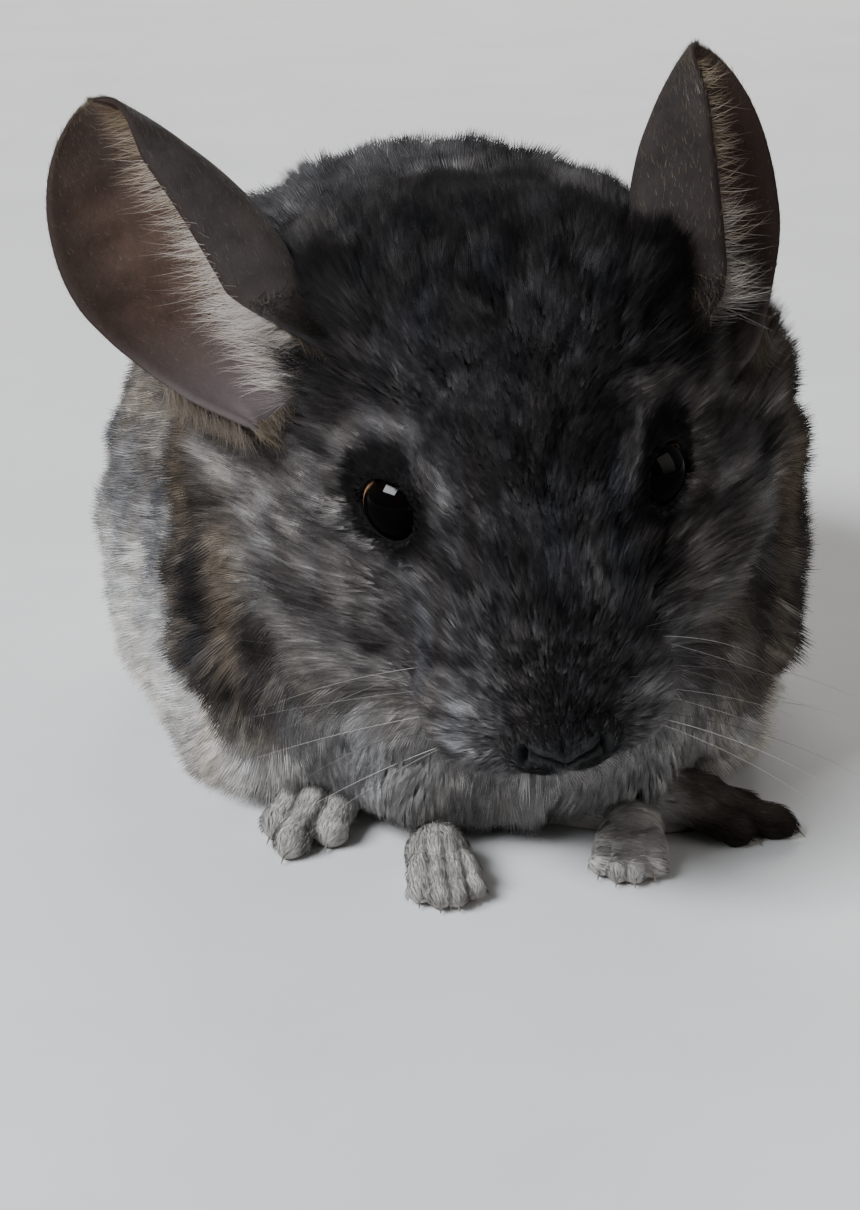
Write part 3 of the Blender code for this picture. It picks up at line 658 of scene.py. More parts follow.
class Nodes:
    """Adds nodes to a tree. An input is given as a value, or as the socket that feeds it."""

    def __init__(self, tree):
        self.tree = tree

    def feed(self, node, inputs):
        """Sets a node's inputs to values, or links them to the sockets that feed them."""
        for key, value in inputs.items():
            if isinstance(value, bpy.types.NodeSocket):
                self.tree.links.new(value, node.inputs[key])
            else:
                node.inputs[key].default_value = value

    def add(self, kind, inputs=None, **settings):
        """A new node with its settings and inputs."""
        node = self.tree.nodes.new(kind)
        for key, value in settings.items():
            setattr(node, key, value)
        self.feed(node, inputs or {})
        return node

    def ramp(self, factor, stops):
        """Colours mixed from stops, each a place and a colour."""
        node = self.add("ShaderNodeValToRGB", {"Fac": factor})
        elements = node.color_ramp.elements
        while len(elements) < len(stops):
            elements.new(0.5)
        for element, (place, colour) in zip(elements, stops):
            element.position = place
            element.color = (*colour, 1)
        return node.outputs["Color"]

    def mottle(self, factor, dark, light, low=0.3):
        """A dark and a light colour, mixed where a noise from 0 to 1 passes from low to 1 - low."""
        return self.ramp(factor, [(low, dark), (1 - low, light)])

    def calculate(self, operation, a, b, limit=False):
        """Two numbers worked out into one."""
        return self.add("ShaderNodeMath", {0: a, 1: b}, operation=operation, use_clamp=limit).outputs[0]

    def scale(self, vector, factor):
        """A vector or colour times a number."""
        return self.add("ShaderNodeVectorMath", {0: vector, "Scale": factor}, operation="SCALE").outputs[0]

    def span(self, value, low, high, start=0.0, end=1.0):
        """A value's range from low to high, drawn out or in to go from start to end."""
        return self.add("ShaderNodeMapRange", {"Value": value, 1: low, 2: high, 3: start, 4: end}).outputs[0]

    def blend(self, share, a, b):
        """The colour that lies a share of the way from a to b."""
        return self.add("ShaderNodeMix", {0: share, 6: a, 7: b}, data_type="RGBA").outputs[2]

    def attribute(self, name):
        """A number that the mesh keeps for each of its points."""
        return self.add("ShaderNodeAttribute", attribute_name=name).outputs["Fac"]

    def noise(self, scale, detail=3.0, roughness=0.6):
        """Cloudy noise from 0 to 1 over the object's own coordinates."""
        place = self.add("ShaderNodeTexCoord").outputs["Object"]
        given = {"Vector": place, "Scale": scale, "Detail": detail, "Roughness": roughness}
        return self.add("ShaderNodeTexNoise", given).outputs["Fac"]

    def bump(self, height, strength, distance):
        """The normal of a surface that a height raises by up to a distance."""
        given = {"Height": height, "Strength": strength, "Distance": distance}
        return self.add("ShaderNodeBump", given).outputs["Normal"]


def pelage_group():
    """The coat's colour from its tone, warmth, place along the hair and a chance value for each tuft."""
    if "pelage" in bpy.data.node_groups:
        return bpy.data.node_groups["pelage"]
    tree = bpy.data.node_groups.new("pelage", "ShaderNodeTree")
    for name in ("Tone", "Warmth", "Along", "Chance"):
        tree.interface.new_socket(name, in_out="INPUT", socket_type="NodeSocketFloat")
    tree.interface.new_socket("Color", in_out="OUTPUT", socket_type="NodeSocketColor")
    nodes = Nodes(tree)
    given = nodes.add("NodeGroupInput").outputs
    mottle = nodes.calculate("MULTIPLY", nodes.calculate("SUBTRACT", nodes.noise(260, 4.0, 0.7), 0.5), 0.22)
    band = nodes.span(given["Along"], 0.6, 1.0, 0.09, -0.06)
    tone = nodes.calculate("ADD", nodes.calculate("ADD", given["Tone"], mottle), band, True)
    cool = nodes.ramp(tone, [
        (0.0, (0.0035, 0.0035, 0.004)), (0.2, (0.0125, 0.0125, 0.0145)), (0.4, (0.042, 0.042, 0.047)),
        (0.6, (0.115, 0.115, 0.122)), (0.8, (0.30, 0.30, 0.305)), (1.0, (0.68, 0.67, 0.66)),
    ])
    tan = nodes.ramp(tone, [
        (0.0, (0.005, 0.004, 0.003)), (0.2, (0.019, 0.014, 0.010)), (0.4, (0.062, 0.047, 0.034)),
        (0.6, (0.155, 0.125, 0.095)), (0.8, (0.36, 0.31, 0.25)), (1.0, (0.73, 0.67, 0.59)),
    ])
    colour = nodes.blend(given["Warmth"], cool, tan)
    depth = nodes.span(given["Along"], 0.0, 0.8, 0.5, 1.0)
    vary = nodes.span(given["Chance"], 0.0, 1.0, 0.65, 1.35)
    light = nodes.calculate("MULTIPLY", depth, vary)
    nodes.add("NodeGroupOutput", {"Color": nodes.scale(colour, light)})
    return tree


def new_material(name, roughness, specular=0.3):
    """A material, its node helper and its Principled shader."""
    material = bpy.data.materials.new(name)
    material.use_nodes = True
    nodes = Nodes(material.node_tree)
    shader = material.node_tree.nodes["Principled BSDF"]
    nodes.feed(shader, {"Roughness": roughness, "Specular IOR Level": specular})
    return material, nodes, shader


def pelage_colour(nodes, along, chance):
    """The coat's colour from a mesh's own tone and warm values, a place along the hair and a chance."""
    given = {
        "Tone": nodes.attribute("tone"), "Warmth": nodes.attribute("warm"), "Along": along, "Chance": chance,
    }
    return nodes.add("ShaderNodeGroup", given, node_tree=pelage_group()).outputs["Color"]


def fur_material():
    """The coat's tufts. One seen from its under side keeps the normal that points out of the coat."""
    if "soft_fur" in bpy.data.materials:
        return bpy.data.materials["soft_fur"]
    material, nodes, shader = new_material("soft_fur", 0.85, 0.06)
    colour = pelage_colour(nodes, nodes.attribute("along"), nodes.attribute("chance"))
    geometry = nodes.add("ShaderNodeNewGeometry").outputs
    twice = nodes.calculate("MULTIPLY", geometry["Backfacing"], 2.0)
    sign = nodes.calculate("SUBTRACT", 1.0, twice)
    nodes.feed(shader, {"Base Color": colour, "Normal": nodes.scale(geometry["Normal"], sign)})
    return material


def skin_material():
    """The skin under the coat, in the coat's own colours."""
    if "furred_skin" in bpy.data.materials:
        return bpy.data.materials["furred_skin"]
    material, nodes, shader = new_material("furred_skin", 0.9, 0.06)
    grain = nodes.bump(nodes.noise(1400), 0.3, 0.0003)
    nodes.feed(shader, {"Base Color": pelage_colour(nodes, 0.75, 0.5), "Normal": grain})
    return material


def bare_skin_material(name, dark, light, roughness, specular, grain, strength):
    """Bare skin or horn: two colours mottled together, with fine creases."""
    material, nodes, shader = new_material(name, roughness, specular)
    colour = nodes.mottle(nodes.noise(grain / 3, 4.0), dark, light, 0.35)
    place = nodes.add("ShaderNodeTexCoord").outputs["Object"]
    cells = nodes.add("ShaderNodeTexVoronoi", {"Vector": place, "Scale": grain}, feature="DISTANCE_TO_EDGE")
    creases = nodes.bump(cells.outputs["Distance"], strength, 0.0005)
    nodes.feed(shader, {"Base Color": colour, "Normal": creases})
    return material


def nose_material(down):
    """Fine dark down over the nose, with painted shade: black inside its creases, cleft and nostrils."""
    material, nodes, shader = new_material("nose_skin", 0.6, 0.15)
    fuzz = nodes.mottle(nodes.noise(900, 4.0, 0.7), (0.005, 0.0055, 0.0055), down)
    # Painted shade: black where the creases, the cleft and the nostrils sink in.
    colour = nodes.blend(nodes.attribute("deep"), fuzz, (0.001, 0.001, 0.001, 1))
    nodes.feed(shader, {"Base Color": colour, "Normal": nodes.bump(nodes.noise(3500), 0.6, 0.0003)})
    return material


def ear_material(blush):
    """Thin skin: brown inside with a blush of blood, and grey with short down outside."""
    material, nodes, shader = new_material("ear_skin", 0.75, 0.12)
    blotch = nodes.noise(110, 5.0, 0.65)
    inner = nodes.mottle(blotch, (0.027, 0.015, 0.010), blush)
    colour = nodes.mottle(blotch, (0.016, 0.013, 0.012), (0.036, 0.029, 0.026))
    # Each part of the ear that has its own colour covers the ones before it.
    for part, paint in (
        ("inner", inner), ("rim", (0.02, 0.014, 0.012, 1)), ("base", (0.085, 0.070, 0.068, 1)),
        ("end", (0.012, 0.011, 0.011, 1)),
    ):
        colour = nodes.blend(nodes.attribute(part), colour, paint)
    nodes.feed(shader, {
        "Base Color": colour, "Normal": nodes.bump(nodes.noise(700, 4.0), 0.35, 0.0006),
        "Subsurface Weight": 0.15, "Subsurface Radius": (0.004, 0.0012, 0.0006), "Subsurface Scale": 0.5,
    })
    return material


def eye_material(amber):
    """A wet dark eye: black pupil, nearly black iris with fine rays, and a painted glow: a thin warm
    arc by the hind corner, painted where light through the cornea lights the iris.

    The wet shine is thinned over the lower half: painted shade on its reflection, where dark fur stands
    round it.
    """
    material, nodes, shader = new_material("wet_eye", 0.4, 0.0)
    rays = nodes.noise(2600, 2.0)
    iris = nodes.mottle(rays, (0.0008, 0.0005, 0.0004), (0.002, 0.001, 0.0007))
    outside_pupil = nodes.span(nodes.attribute("polar"), 0.50, 0.58)
    colour = nodes.blend(outside_pupil, (0.001, 0.001, 0.001, 1), iris)
    # Painted glow: the arc of light through the cornea, mixed over the iris.
    colour = nodes.blend(nodes.attribute("amber"), colour, nodes.mottle(rays, (0.22, 0.12, 0.06), amber))
    nodes.feed(shader, {
        "Base Color": colour, "Coat Weight": nodes.attribute("film"),
        "Coat Roughness": 0.03, "Coat IOR": 1.25,
    })
    return material


def hair_material(name, dark, middle, light):
    """Single hairs: from dark through tan to light, as each hair's own shade says."""
    material, nodes, shader = new_material(name, 0.5, 0.25)
    colour = nodes.ramp(nodes.attribute("shade"), [(0.0, dark), (0.45, middle), (1.0, light)])
    nodes.feed(shader, {"Base Color": colour})
    return material


def floor_material():
    """A pale floor with a faint cloudiness."""
    material, nodes, shader = new_material("pale_floor", 0.7, 0.2)
    colour = nodes.mottle(nodes.noise(18, 4.0), (0.74, 0.74, 0.74), (0.80, 0.80, 0.80))
    nodes.feed(shader, {"Base Color": colour})
    return material


# Shapes along a path


def frames_along(path):
    """Two unit vectors across each path, at right angles, for paths of shape (n, steps, 3)."""
    ahead = unit(np.gradient(path, axis=-2))
    up = np.zeros_like(ahead)
    up[..., 2] = 1
    up = np.where(abs(ahead[..., 2:3]) > 0.9, np.array([1.0, 0, 0]), up)
    across = unit(np.cross(ahead, up))
    return across, np.cross(across, ahead)


def swept(path, radii, sides):
    """Closed round tubes along paths: rings of points at the radii, with a pole at each end."""
    across, up = frames_along(path)
    angle = np.linspace(0, 2 * math.pi, sides, endpoint=False)
    ring = across[..., None, :] * np.cos(angle)[:, None] + up[..., None, :] * np.sin(angle)[:, None]
    body = path[..., None, :] + ring * radii[..., None, None]
    count, steps = path.shape[:2]
    points = np.concatenate([path[:, :1], body.reshape(count, -1, 3), path[:, -1:]], axis=1)
    quads = grid_faces(steps, sides, closed=True) + 1
    triangles = np.concatenate([quads[:, [0, 1, 2]], quads[:, [0, 2, 3]]])
    first, last = np.arange(sides) + 1, np.arange(sides) + 1 + (steps - 1) * sides
    start = np.stack([np.zeros(sides, int), np.roll(first, -1), first], -1)
    end = np.stack([np.full(sides, steps * sides + 1), last, np.roll(last, -1)], -1)
    faces = np.concatenate([triangles, start, end])
    size = steps * sides + 2
    faces = (np.arange(count)[:, None, None] * size + faces).reshape(-1, 3)
    along = np.concatenate([[0], np.repeat(np.linspace(0, 1, steps), sides), [1]])
    return points.reshape(-1, 3), faces, np.tile(along, count), size


def strands(name, root, way, curl, length, width, shade, material, slot, facing, uv):
    """Fine flat hairs, each a tapered strip of three steps that starts along way and bends by curl."""
    count = len(root)
    share = np.array([0, 0.35, 0.7, 1])
    path = root[:, None] + way[:, None] * (length[:, None] * share)[..., None]
    path += curl[:, None] * (length[:, None] * share**2)[..., None]
    side = unit(np.cross(way, facing))
    taper = np.array([1, 0.8, 0.45])
    left = path[:, :3] - side[:, None] * (width[:, None] * taper / 2)[..., None]
    right = path[:, :3] + side[:, None] * (width[:, None] * taper / 2)[..., None]
    points = np.concatenate([np.stack([left, right], 2).reshape(count, 6, 3), path[:, 3:]], 1)
    faces = np.array([(0, 1, 3), (0, 3, 2), (2, 3, 5), (2, 5, 4), (4, 5, 6)])
    size = points.shape[1]
    faces = (np.arange(count)[:, None, None] * size + faces).reshape(-1, 3)
    normals = np.repeat(unit(facing), size, axis=0)
    patch = [(-0.5, -0.5), (0.5, -0.5), (-0.4, -0.15), (0.4, -0.15), (-0.2, 0.2), (0.2, 0.2), (0, 0.5)]
    uv = (uv[:, None] + np.array(patch) * PATCH).reshape(-1, 2)
    values = {"shade": np.repeat(shade, size)}
    obj = mesh_object(name, points.reshape(-1, 3), faces, uv, values, normals)
    return finish_piece(obj, material, slot)


# The ears

# Each ear: the middle of its root, its tip, the way that it faces, how near its inner edge the roll
# starts, and how far it rolls over. Places are in the body's frame.
EARS = {
    "right": ((-34, 6, 77), (-61, 42, 115.5), (-0.20, -0.96, 0.22), 0.30, 2.25),
    "left": ((26.5, 9, 78), (34, 41, 122.5), (0.56, -0.80, 0.17), 0.22, 1.85),
}
EAR_WIDTH = 43
EAR_BOW = 0.1
EAR_ROWS, EAR_COLUMNS = 72, 64
EAR_SEEDS = {"right": 31, "left": 37}
HEAD_MIDDLE = (0, 20, 62)


def ear_sheet(side, rows, columns):
    """The ear's middle sheet, a profile carried from the root to the tip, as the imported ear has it.

    Across the ear the sheet turns gently towards its outer edge, and rolls over forwards at its
    inner edge. Both halves swell to the middle of the ear and close at the tip. The rows below the
    root run back into the head.
    """
    root, tip, facing, fold_at, roll = EARS[side]
    root, tip, facing = (np.array(v, float) for v in (root, tip, facing))
    length = np.linalg.norm(tip - root)
    axis = (tip - root) / length
    facing = unit(facing - facing.dot(axis) * axis)
    outward = np.cross(facing, axis) if side == "right" else np.cross(axis, facing)

    along = np.sin(np.linspace(-0.12, math.pi / 2 * 0.985, rows))
    along = np.where(along > 0, along * 0.995 / along[-1], along)
    across = np.linspace(-1, 1, columns)
    up = np.clip(along, 0, 1)
    swell = np.sin(np.clip(along / 0.62, -1, 1) * math.pi / 2)
    outer = (0.51 + 0.49 * swell) * (1 - np.clip((up - 0.45) / 0.55, 0, 1) ** 2.2) ** 0.58
    inner = (0.95 + 0.32 * swell) * (1 - np.clip((up - 0.25) / 0.75, 0, 1) ** 1.9) ** 0.85
    width = EAR_WIDTH / 2 * np.where(across < 0, inner[:, None], outer[:, None])
    bend = roll * np.clip((1 - up) / 0.25, 0, 1) ** 0.5 * (0.45 + 0.55 * np.clip(up / 0.3, 0, 1))
    fold = ease(-across - fold_at, 0, 0.42)
    turn = np.outer(1 - 0.5 * up, across) - np.outer(bend, fold)
    step = across[1] - across[0]
    flat_x = np.cumsum(np.cos(turn) * width, axis=1) * step
    flat_y = np.cumsum(np.sin(turn) * width, axis=1) * step
    middle = np.argmin(abs(across))
    flat_x -= flat_x[:, middle : middle + 1]
    flat_y -= flat_y[:, middle : middle + 1]
    bow = EAR_BOW * length * np.sin(up * math.pi) + 13 * ease(-along, 0, 0.06)
    points = root + (along * length)[:, None, None] * axis + flat_x[..., None] * outward
    points = points + (flat_y - bow[:, None])[..., None] * facing
    return points, along, across


def sheet_normals(points):
    """Unit normals of a grid of points, from its steps along rows and columns."""
    return unit(np.cross(np.gradient(points, axis=0), np.gradient(points, axis=1)))


def ear_shell(side):
    """The ear's two faces, a skin's thickness apart and drawn together at the rim.

    Both margins bend into the head at their lower ends.
    """
    points, along, across = ear_sheet(side, EAR_ROWS, EAR_COLUMNS)
    normal = sheet_normals(points)
    facing = np.array(EARS[side][2])
    if (normal[EAR_ROWS // 2, EAR_COLUMNS // 2] * facing).sum() < 0:
        normal = -normal
    edge = np.minimum(1 - abs(across)[None, :], (1 - along)[:, None] * 1.6)
    thick = 0.5 * np.sqrt(np.clip(edge / 0.05, 0.04, 1)) * (1 + 0.5 * (1 - np.clip(along, 0, 1)))[:, None]
    ripple = 0.22 * np.sin(along * 46)[:, None] * np.exp(-(((across - 0.35) / 0.5) ** 2))[None, :]
    ripple *= (ease(along, 0.1, 0.3) * (1 - ease(along, 0.75, 0.95)))[:, None]
    low = 1 - ease(along, -0.02, 0.15)
    pull = low[:, None] * (5.5 * ease(-across, 0.3, 0.9) + 4.0 * ease(across, 0.5, 1.0))[None, :]
    points = points + unit(np.array(HEAD_MIDDLE) - points) * pull[..., None]
    front = points + normal * (thick + ripple)[..., None]
    back = points - normal * (thick - ripple)[..., None]
    return front, back, normal, along, across


def ear_map(along, across, back):
    """A place on the ear's map: the front face fills its left half, and the back face its right half."""
    return np.stack([0.02 + 0.46 * (across + 1) / 2 + 0.5 * back, 0.02 + 0.96 * np.clip(along, 0, 1)], -1)


def make_ear(side, material):
    """The ear's skin: its two faces and the rim between them, with a value for each part of its colour."""
    front, back, _, along, across = ear_shell(side)
    rows, columns = front.shape[:2]
    size = rows * columns
    quads = grid_faces(rows, columns)
    facing = np.array(EARS[side][2])
    a, b, c = (front.reshape(-1, 3)[quads[:, k]] for k in (0, 1, 2))
    if (np.cross(b - a, c - b).mean(0) * facing).sum() < 0:
        quads = quads[:, ::-1]
    border = np.concatenate([
        np.arange(columns), np.arange(1, rows) * columns + columns - 1,
        (rows - 1) * columns + np.arange(columns - 2, -1, -1), np.arange(rows - 2, 0, -1) * columns,
    ])
    after = np.roll(border, -1)
    rim = np.stack([border, after, after + size, border + size], -1)
    faces = np.concatenate([quads, quads[:, ::-1] + size, rim])
    points = from_body(np.concatenate([front.reshape(-1, 3), back.reshape(-1, 3)]))
    up, out = np.meshgrid(np.clip(along, 0, 1), across, indexing="ij")
    places = np.concatenate([ear_map(up, out, face).reshape(-1, 2) for face in (0, 1)])
    up, out = up.ravel(), out.ravel()
    edge = 1 - np.minimum(1 - abs(out), (1 - up) * 1.6)
    outer_edge = 0.75 * ease(edge, 0.4, 1.0) * ease(out, -0.3, 0.3)
    values = {
        "end": np.tile((1 - ease(up, 0.04, 0.22)) * ease(-out, 0.45, 0.8), 2),
        "inner": np.repeat([1, 0], size),
        "rim": np.tile(np.maximum(ease(edge, 0.93, 1.0), outer_edge), 2),
        "base": np.concatenate([1 - ease(up, 0.0, 0.45), 0.4 * (1 - ease(up, 0.0, 0.3))]),
    }
    corner = faces.copy()
    corner[-len(rim) :] %= size
    obj = mesh_object(f"ear_skin_{side}", points, faces, places[corner.ravel()], values)
    face_outwards(obj)
    return finish_piece(obj, material, "ear_skin", f"ear_{side}")


def ear_hair(side, material):
    """Pale hairs along the free margin and inside the base, and short down over both faces."""
    rng = np.random.default_rng(EAR_SEEDS[side])
    front, back, normal, *_ = ear_shell(side)
    rows, columns = front.shape[:2]
    steep = unit(np.gradient(front, axis=0))
    outward = unit(np.gradient(front, axis=1))
    coarse = ear_sheet(side, 3, 3)[0]
    over_cup = unit(coarse[1, 2] - coarse[1, 0])
    root, way, curl, length, width, shade, facing, places = ([] for _ in range(8))

    def grow(count, row, column, face, lift, up, out, long, wide, tint, over=0.0):
        """Hairs rooted at rows and columns of a face, that lean off it, up, outwards or over the cup."""
        row, column = np.clip(row, 0, rows - 1.001), np.clip(column, 0, columns - 1.001)
        r, c = row.astype(int), column.astype(int)
        u, v = (row - r)[:, None], (column - c)[:, None]
        place = mix(mix(face[r, c], face[r + 1, c], u), mix(face[r, c + 1], face[r + 1, c + 1], u), v)
        n = normal[r, c] * (1 if face is front else -1)
        jitter = rng.normal(size=(count, 3)) * 0.16
        root.append(place - n * 0.1)
        places.append(ear_map(row / (rows - 1), column / (columns - 1) * 2 - 1, float(face is back)))
        way.append(unit(n * lift + steep[r, c] * up + outward[r, c] * out + over_cup * over + jitter))
        curl.append(-n * 0.3 * lift + steep[r, c] * 0.15 + jitter * 0.5)
        length.append(long * rng.uniform(0.6, 1.15, count))
        width.append(wide * rng.uniform(0.7, 1.2, count))
        shade.append(np.clip(tint + rng.normal(size=count) * 0.12, 0, 1))
        facing.append(unit(n + outward[r, c] * 0.4))

    def some(count):
        """As many random shares from 0 to 1 as count."""
        return rng.uniform(size=count)

    # The fringe that leans from the rolled margin over the cup, tan and sparse at the top.
    up = some(700) ** 1.3
    row, column = rows * (0.14 + 0.62 * up), columns * 0.09 * some(700)
    grow(700, row, column, front, 0.15, 0.3, 0, 10 - 5.5 * up, 0.055, 0.85 - 0.5 * up, over=1.0)
    # Soft pale hair deep in the cup, beside the margin and over its floor.
    low = some(2600) ** 1.4
    across = some(2600) ** 1.5
    row, column = rows * (0.02 + 0.1 * (1 - across) + 0.26 * low), columns * (0.04 + 0.5 * across)
    grow(2600, row, column, front, 0.4, 0.35, 0, 6.5, 0.055, 0.8, over=0.9)
    # Tan hair that hangs from the lower rim and a tuft over the root, dark hair over the margin's lower
    # end and pale hair over the gap between both ends, and short down over both faces. Each line gives
    # how many hairs, on which face, the first row and column and how many more as shares of the ear's,
    # and then how far they lift, lie up and lie outwards, their length, their width and their shade.
    for count, face, (first, rise), (start, reach), *hair in (
        (1300, back, (0, 0.2), (0.90, 0.10), 0.9, -1.0, 0.6, 7.0, 0.08, 0.62),
        (1500, front, (0.01, 0.07), (0.3, 0.7), 0.6, -1.0, 0.3, 4.5, 0.08, 0.5),
        (2200, back, (0, 0.2), (0, 0.3), 0.4, -1.0, -0.2, 5.0, 0.1, 0.03),
        (1400, front, (0, 0.13), (0, 0.14), 0.5, -1.0, -0.1, 4.5, 0.09, 0.04),
        (1200, front, (0, 0.07), (0.1, 0.7), 0.5, -0.9, 0.1, 5.0, 0.07, 0.72),
        (3000, front, (0.1, 0.86), (0, 1), 0.25, 1.0, 0.5, 1.0, 0.035, 0.2),
        (6000, back, (0.05, 0.91), (0, 1), 0.2, 1.0, 0.1, 1.5, 0.06, 0.12),
    ):
        row = rows * (first + rise * some(count))
        column = columns * (start + reach * some(count))
        grow(count, row, column, face, *hair)
    return strands(
        f"ear_hair_{side}", from_body(np.concatenate(root)), np.concatenate(way), np.concatenate(curl),
        np.concatenate(length) * MM, np.concatenate(width) * MM, np.concatenate(shade), material,
        "ear_skin", np.concatenate(facing), np.concatenate(places),
    )


# The face

EYE_RINGS, EYE_STEPS = 60, 72
# The lids' rim: how far it stands off the eye's axis and out along it, and how thick it is.
LID_OPENING, LID_RISE, LID_EDGE = 5.15, 3.8, 0.5
NOSE_RINGS, NOSE_STEPS = 110, 150
# How many tufts the nose has, and the seed of their random draws.
NOSE_COAT = (5000, 66)
# The whiskers on each pad: rows, whiskers in a row, and their shortest and longest. The next line gives
# how many stand over each eye, and theirs.
PAD_ROWS, PAD_COLUMNS, PAD_LENGTHS = 5, 4, (28, 44)
BROW_COUNT, BROW_LENGTHS = 3, (12, 18)


def eye_axes(sign):
    """The eye's own axes in the head's frame: across and up over the opening, and out through the pupil."""
    out = unit(np.array([sign * EYE_LOOK[0], EYE_LOOK[1], EYE_LOOK[2]]))
    across = unit(np.cross(out, [0, 0, 1.0]))
    return across, np.cross(across, out), out


def revolved(sign, away, rise, oval=0.0):
    """A profile turned about the eye's axis: away from the axis and rise along it, on an oval path."""
    across, up, out = eye_axes(sign)
    angle = np.linspace(0, 2 * math.pi, EYE_STEPS, endpoint=False)
    stretch = 1 + oval * np.cos(2 * angle)
    ring = across * np.cos(angle)[:, None] + up * np.sin(angle)[:, None]
    points = ring[None] * (np.asarray(away)[:, None] * stretch)[..., None]
    return eye_centre(sign) + points + np.asarray(rise)[:, None, None] * out


def make_eye(name, sign, material):
    """An eyeball with a slightly raised cornea: the radius swells round the pupil like a bell curve."""
    polar = np.linspace(0.0, math.pi, EYE_RINGS)
    radius = EYE_RADIUS * (1 + 0.05 * np.exp(-((polar / 0.6) ** 2)))
    points = revolved(sign, radius * np.sin(polar), radius * np.cos(polar))
    faces = grid_faces(EYE_RINGS, EYE_STEPS, closed=True)
    # Painted glow: a thin arc by the hind corner, where light through the cornea lights the iris.
    hind_corner = unit(np.array([sign * 0.51, 0.385, -0.373]))
    near = unit(points - points.mean(axis=1, keepdims=True)) @ hind_corner
    arc = 0.95 * np.exp(-(((polar - 0.81) / 0.05) ** 2))[:, None] * ease(near, 0.5, 0.98)
    lift = (points - eye_centre(sign)) @ HEAD_TURN[2] / EYE_RADIUS
    # The wet shine fades towards the bottom: painted shade on the reflection, where dark fur stands round
    # the lower half.
    film = mix(0.06, 1.0, ease(lift, 0.05, 0.45))
    values = {"polar": np.repeat(polar, EYE_STEPS), "amber": arc.ravel(), "film": film.ravel()}
    obj = mesh_object(f"eyeball_{name}", from_head(points.reshape(-1, 3)), faces, None, values)
    face_outwards(obj, SEAM)
    return finish_piece(obj, material, "eye", f"eye_{name}")


def make_lids(name, sign, material):
    """Both lids as one ring: a rounded rim that rests on the eyeball and runs out under the coat."""
    turn = np.linspace(-2.6, 1.3, 14)
    rim_away = LID_OPENING + LID_EDGE * np.sin(turn + 0.3)
    rim_rise = LID_RISE + LID_EDGE * np.cos(turn + 0.3)
    away = np.concatenate([rim_away, [6.2, 7.2, 9.0]])
    rise = np.concatenate([rim_rise, [3.35, 2.5, 0.4]])
    points = revolved(sign, away, rise, oval=0.04)
    out = eye_axes(sign)[2]
    wrinkle = waves(points.reshape(-1, 3), 1.6, 3).reshape(points.shape[:2]) * 0.08
    points = points + wrinkle[..., None] * out
    faces = grid_faces(*points.shape[:2], closed=True)
    obj = mesh_object(f"lids_{name}", from_head(points.reshape(-1, 3)), faces)
    a, b, c = (points.reshape(-1, 3)[faces[:, k]] for k in (0, 1, 2))
    if (np.cross(b - a, c - b) @ out).mean() < 0:
        obj.data.flip_normals()
    return finish_piece(obj, material, "nose_skin")


def make_nose(material):
    """The nose pad: an oval dome with two lobes over a curved crease, a cleft below, and slit nostrils."""
    polar, angle = round_grid(NOSE_RINGS, NOSE_STEPS)
    way = np.stack([np.sin(polar) * np.sin(angle), -np.cos(polar), np.sin(polar) * np.cos(angle)], -1)
    way = way.reshape(-1, 3)
    points = way * np.array(NOSE_PAD) + np.array([0, 1 - SNOUT_LENGTH, 0.2])
    side, height = abs(points[:, 0]), points[:, 2]
    front = ease(-points[:, 1], SNOUT_LENGTH - 1, SNOUT_LENGTH + 0.6)
    crease_height = 3.3 - 1.2 * np.exp(-((side / 1.4) ** 2))
    crease = np.exp(-(((height - crease_height) / 0.38) ** 2)) * (1 - ease(side, 5.4, 6.4))
    cleft = np.exp(-((side / 0.4) ** 2)) * (1 - ease(height, 1.6, 2.6))
    parting = 0.5 * np.exp(-((side / 0.7) ** 2)) * ease(height, 2.2, 3.4)
    slit = np.hypot((side - 6.7 - 0.28 * (height - 2.8)) / 0.75, (height - 2.8) / 1.7)
    pit = np.exp(-(slit**4))
    lobe = np.exp(-(((side - 3.8) / 2.4) ** 2)) * ease(height, 3.2, 4.2)
    fuzz = 0.05 * waves(points, 0.7, 4)
    sunk = front * (0.8 * crease + 0.8 * cleft + parting + 2.2 * pit - 0.6 * lobe)
    sunk += 1.4 * ease(height, 1.5, 4.6) * ease(points[:, 1], -42.5, -38.5)
    # Painted shade: black in the creases, the cleft and the nostrils.
    deep = np.clip(crease + cleft + 1.5 * pit, 0, 1) * front
    bare = np.exp(-(((height - crease_height) / 1.1) ** 2)) * (1 - ease(side, 6, 8))
    bare += np.exp(-((slit / 1.4) ** 4))
    bare = np.clip(bare + np.exp(-((side / 1.1) ** 2)) * (1 - ease(height, 2, 4)), 0, 1) * front
    points = points - way * (sunk - fuzz)[:, None]
    faces = grid_faces(NOSE_RINGS, NOSE_STEPS, closed=True)
    obj = mesh_object("nose_pad", from_head(points), faces, None, {"deep": deep, "bare": bare})
    face_outwards(obj, SEAM)
    unwrap(obj)
    return finish_piece(obj, material, "nose_skin", "nose")


def nose_fields(obj):
    """Very short hair over the nose's lobes and sides that lies back along the snout, none by its slits."""
    points, normal = points_of(obj.data), normals_of(obj.data)
    bare = np.empty(len(points), np.float32)
    obj.data.attributes["bare"].data.foreach_get("value", bare)
    way = np.array([0, 1, 0.15]) @ HEAD_TURN.T + 0.3 * np.sign(in_head(points)[:, :1]) * HEAD_TURN[:, 0]
    lie = along_skin(way, normal)
    one = np.ones(len(points))
    return {
        "height": 0.2 + 0.3 * (1 - bare), "run": 0.7 + 0.7 * (1 - bare), "lie": lie, "normal": normal,
        "width": 0.14 * one, "closeness": (1 - bare) ** 3 + 1e-6, "clump": 0.8 * one,
        "skull": one, "brush": 0 * one, "ear": 0 * one,
    }


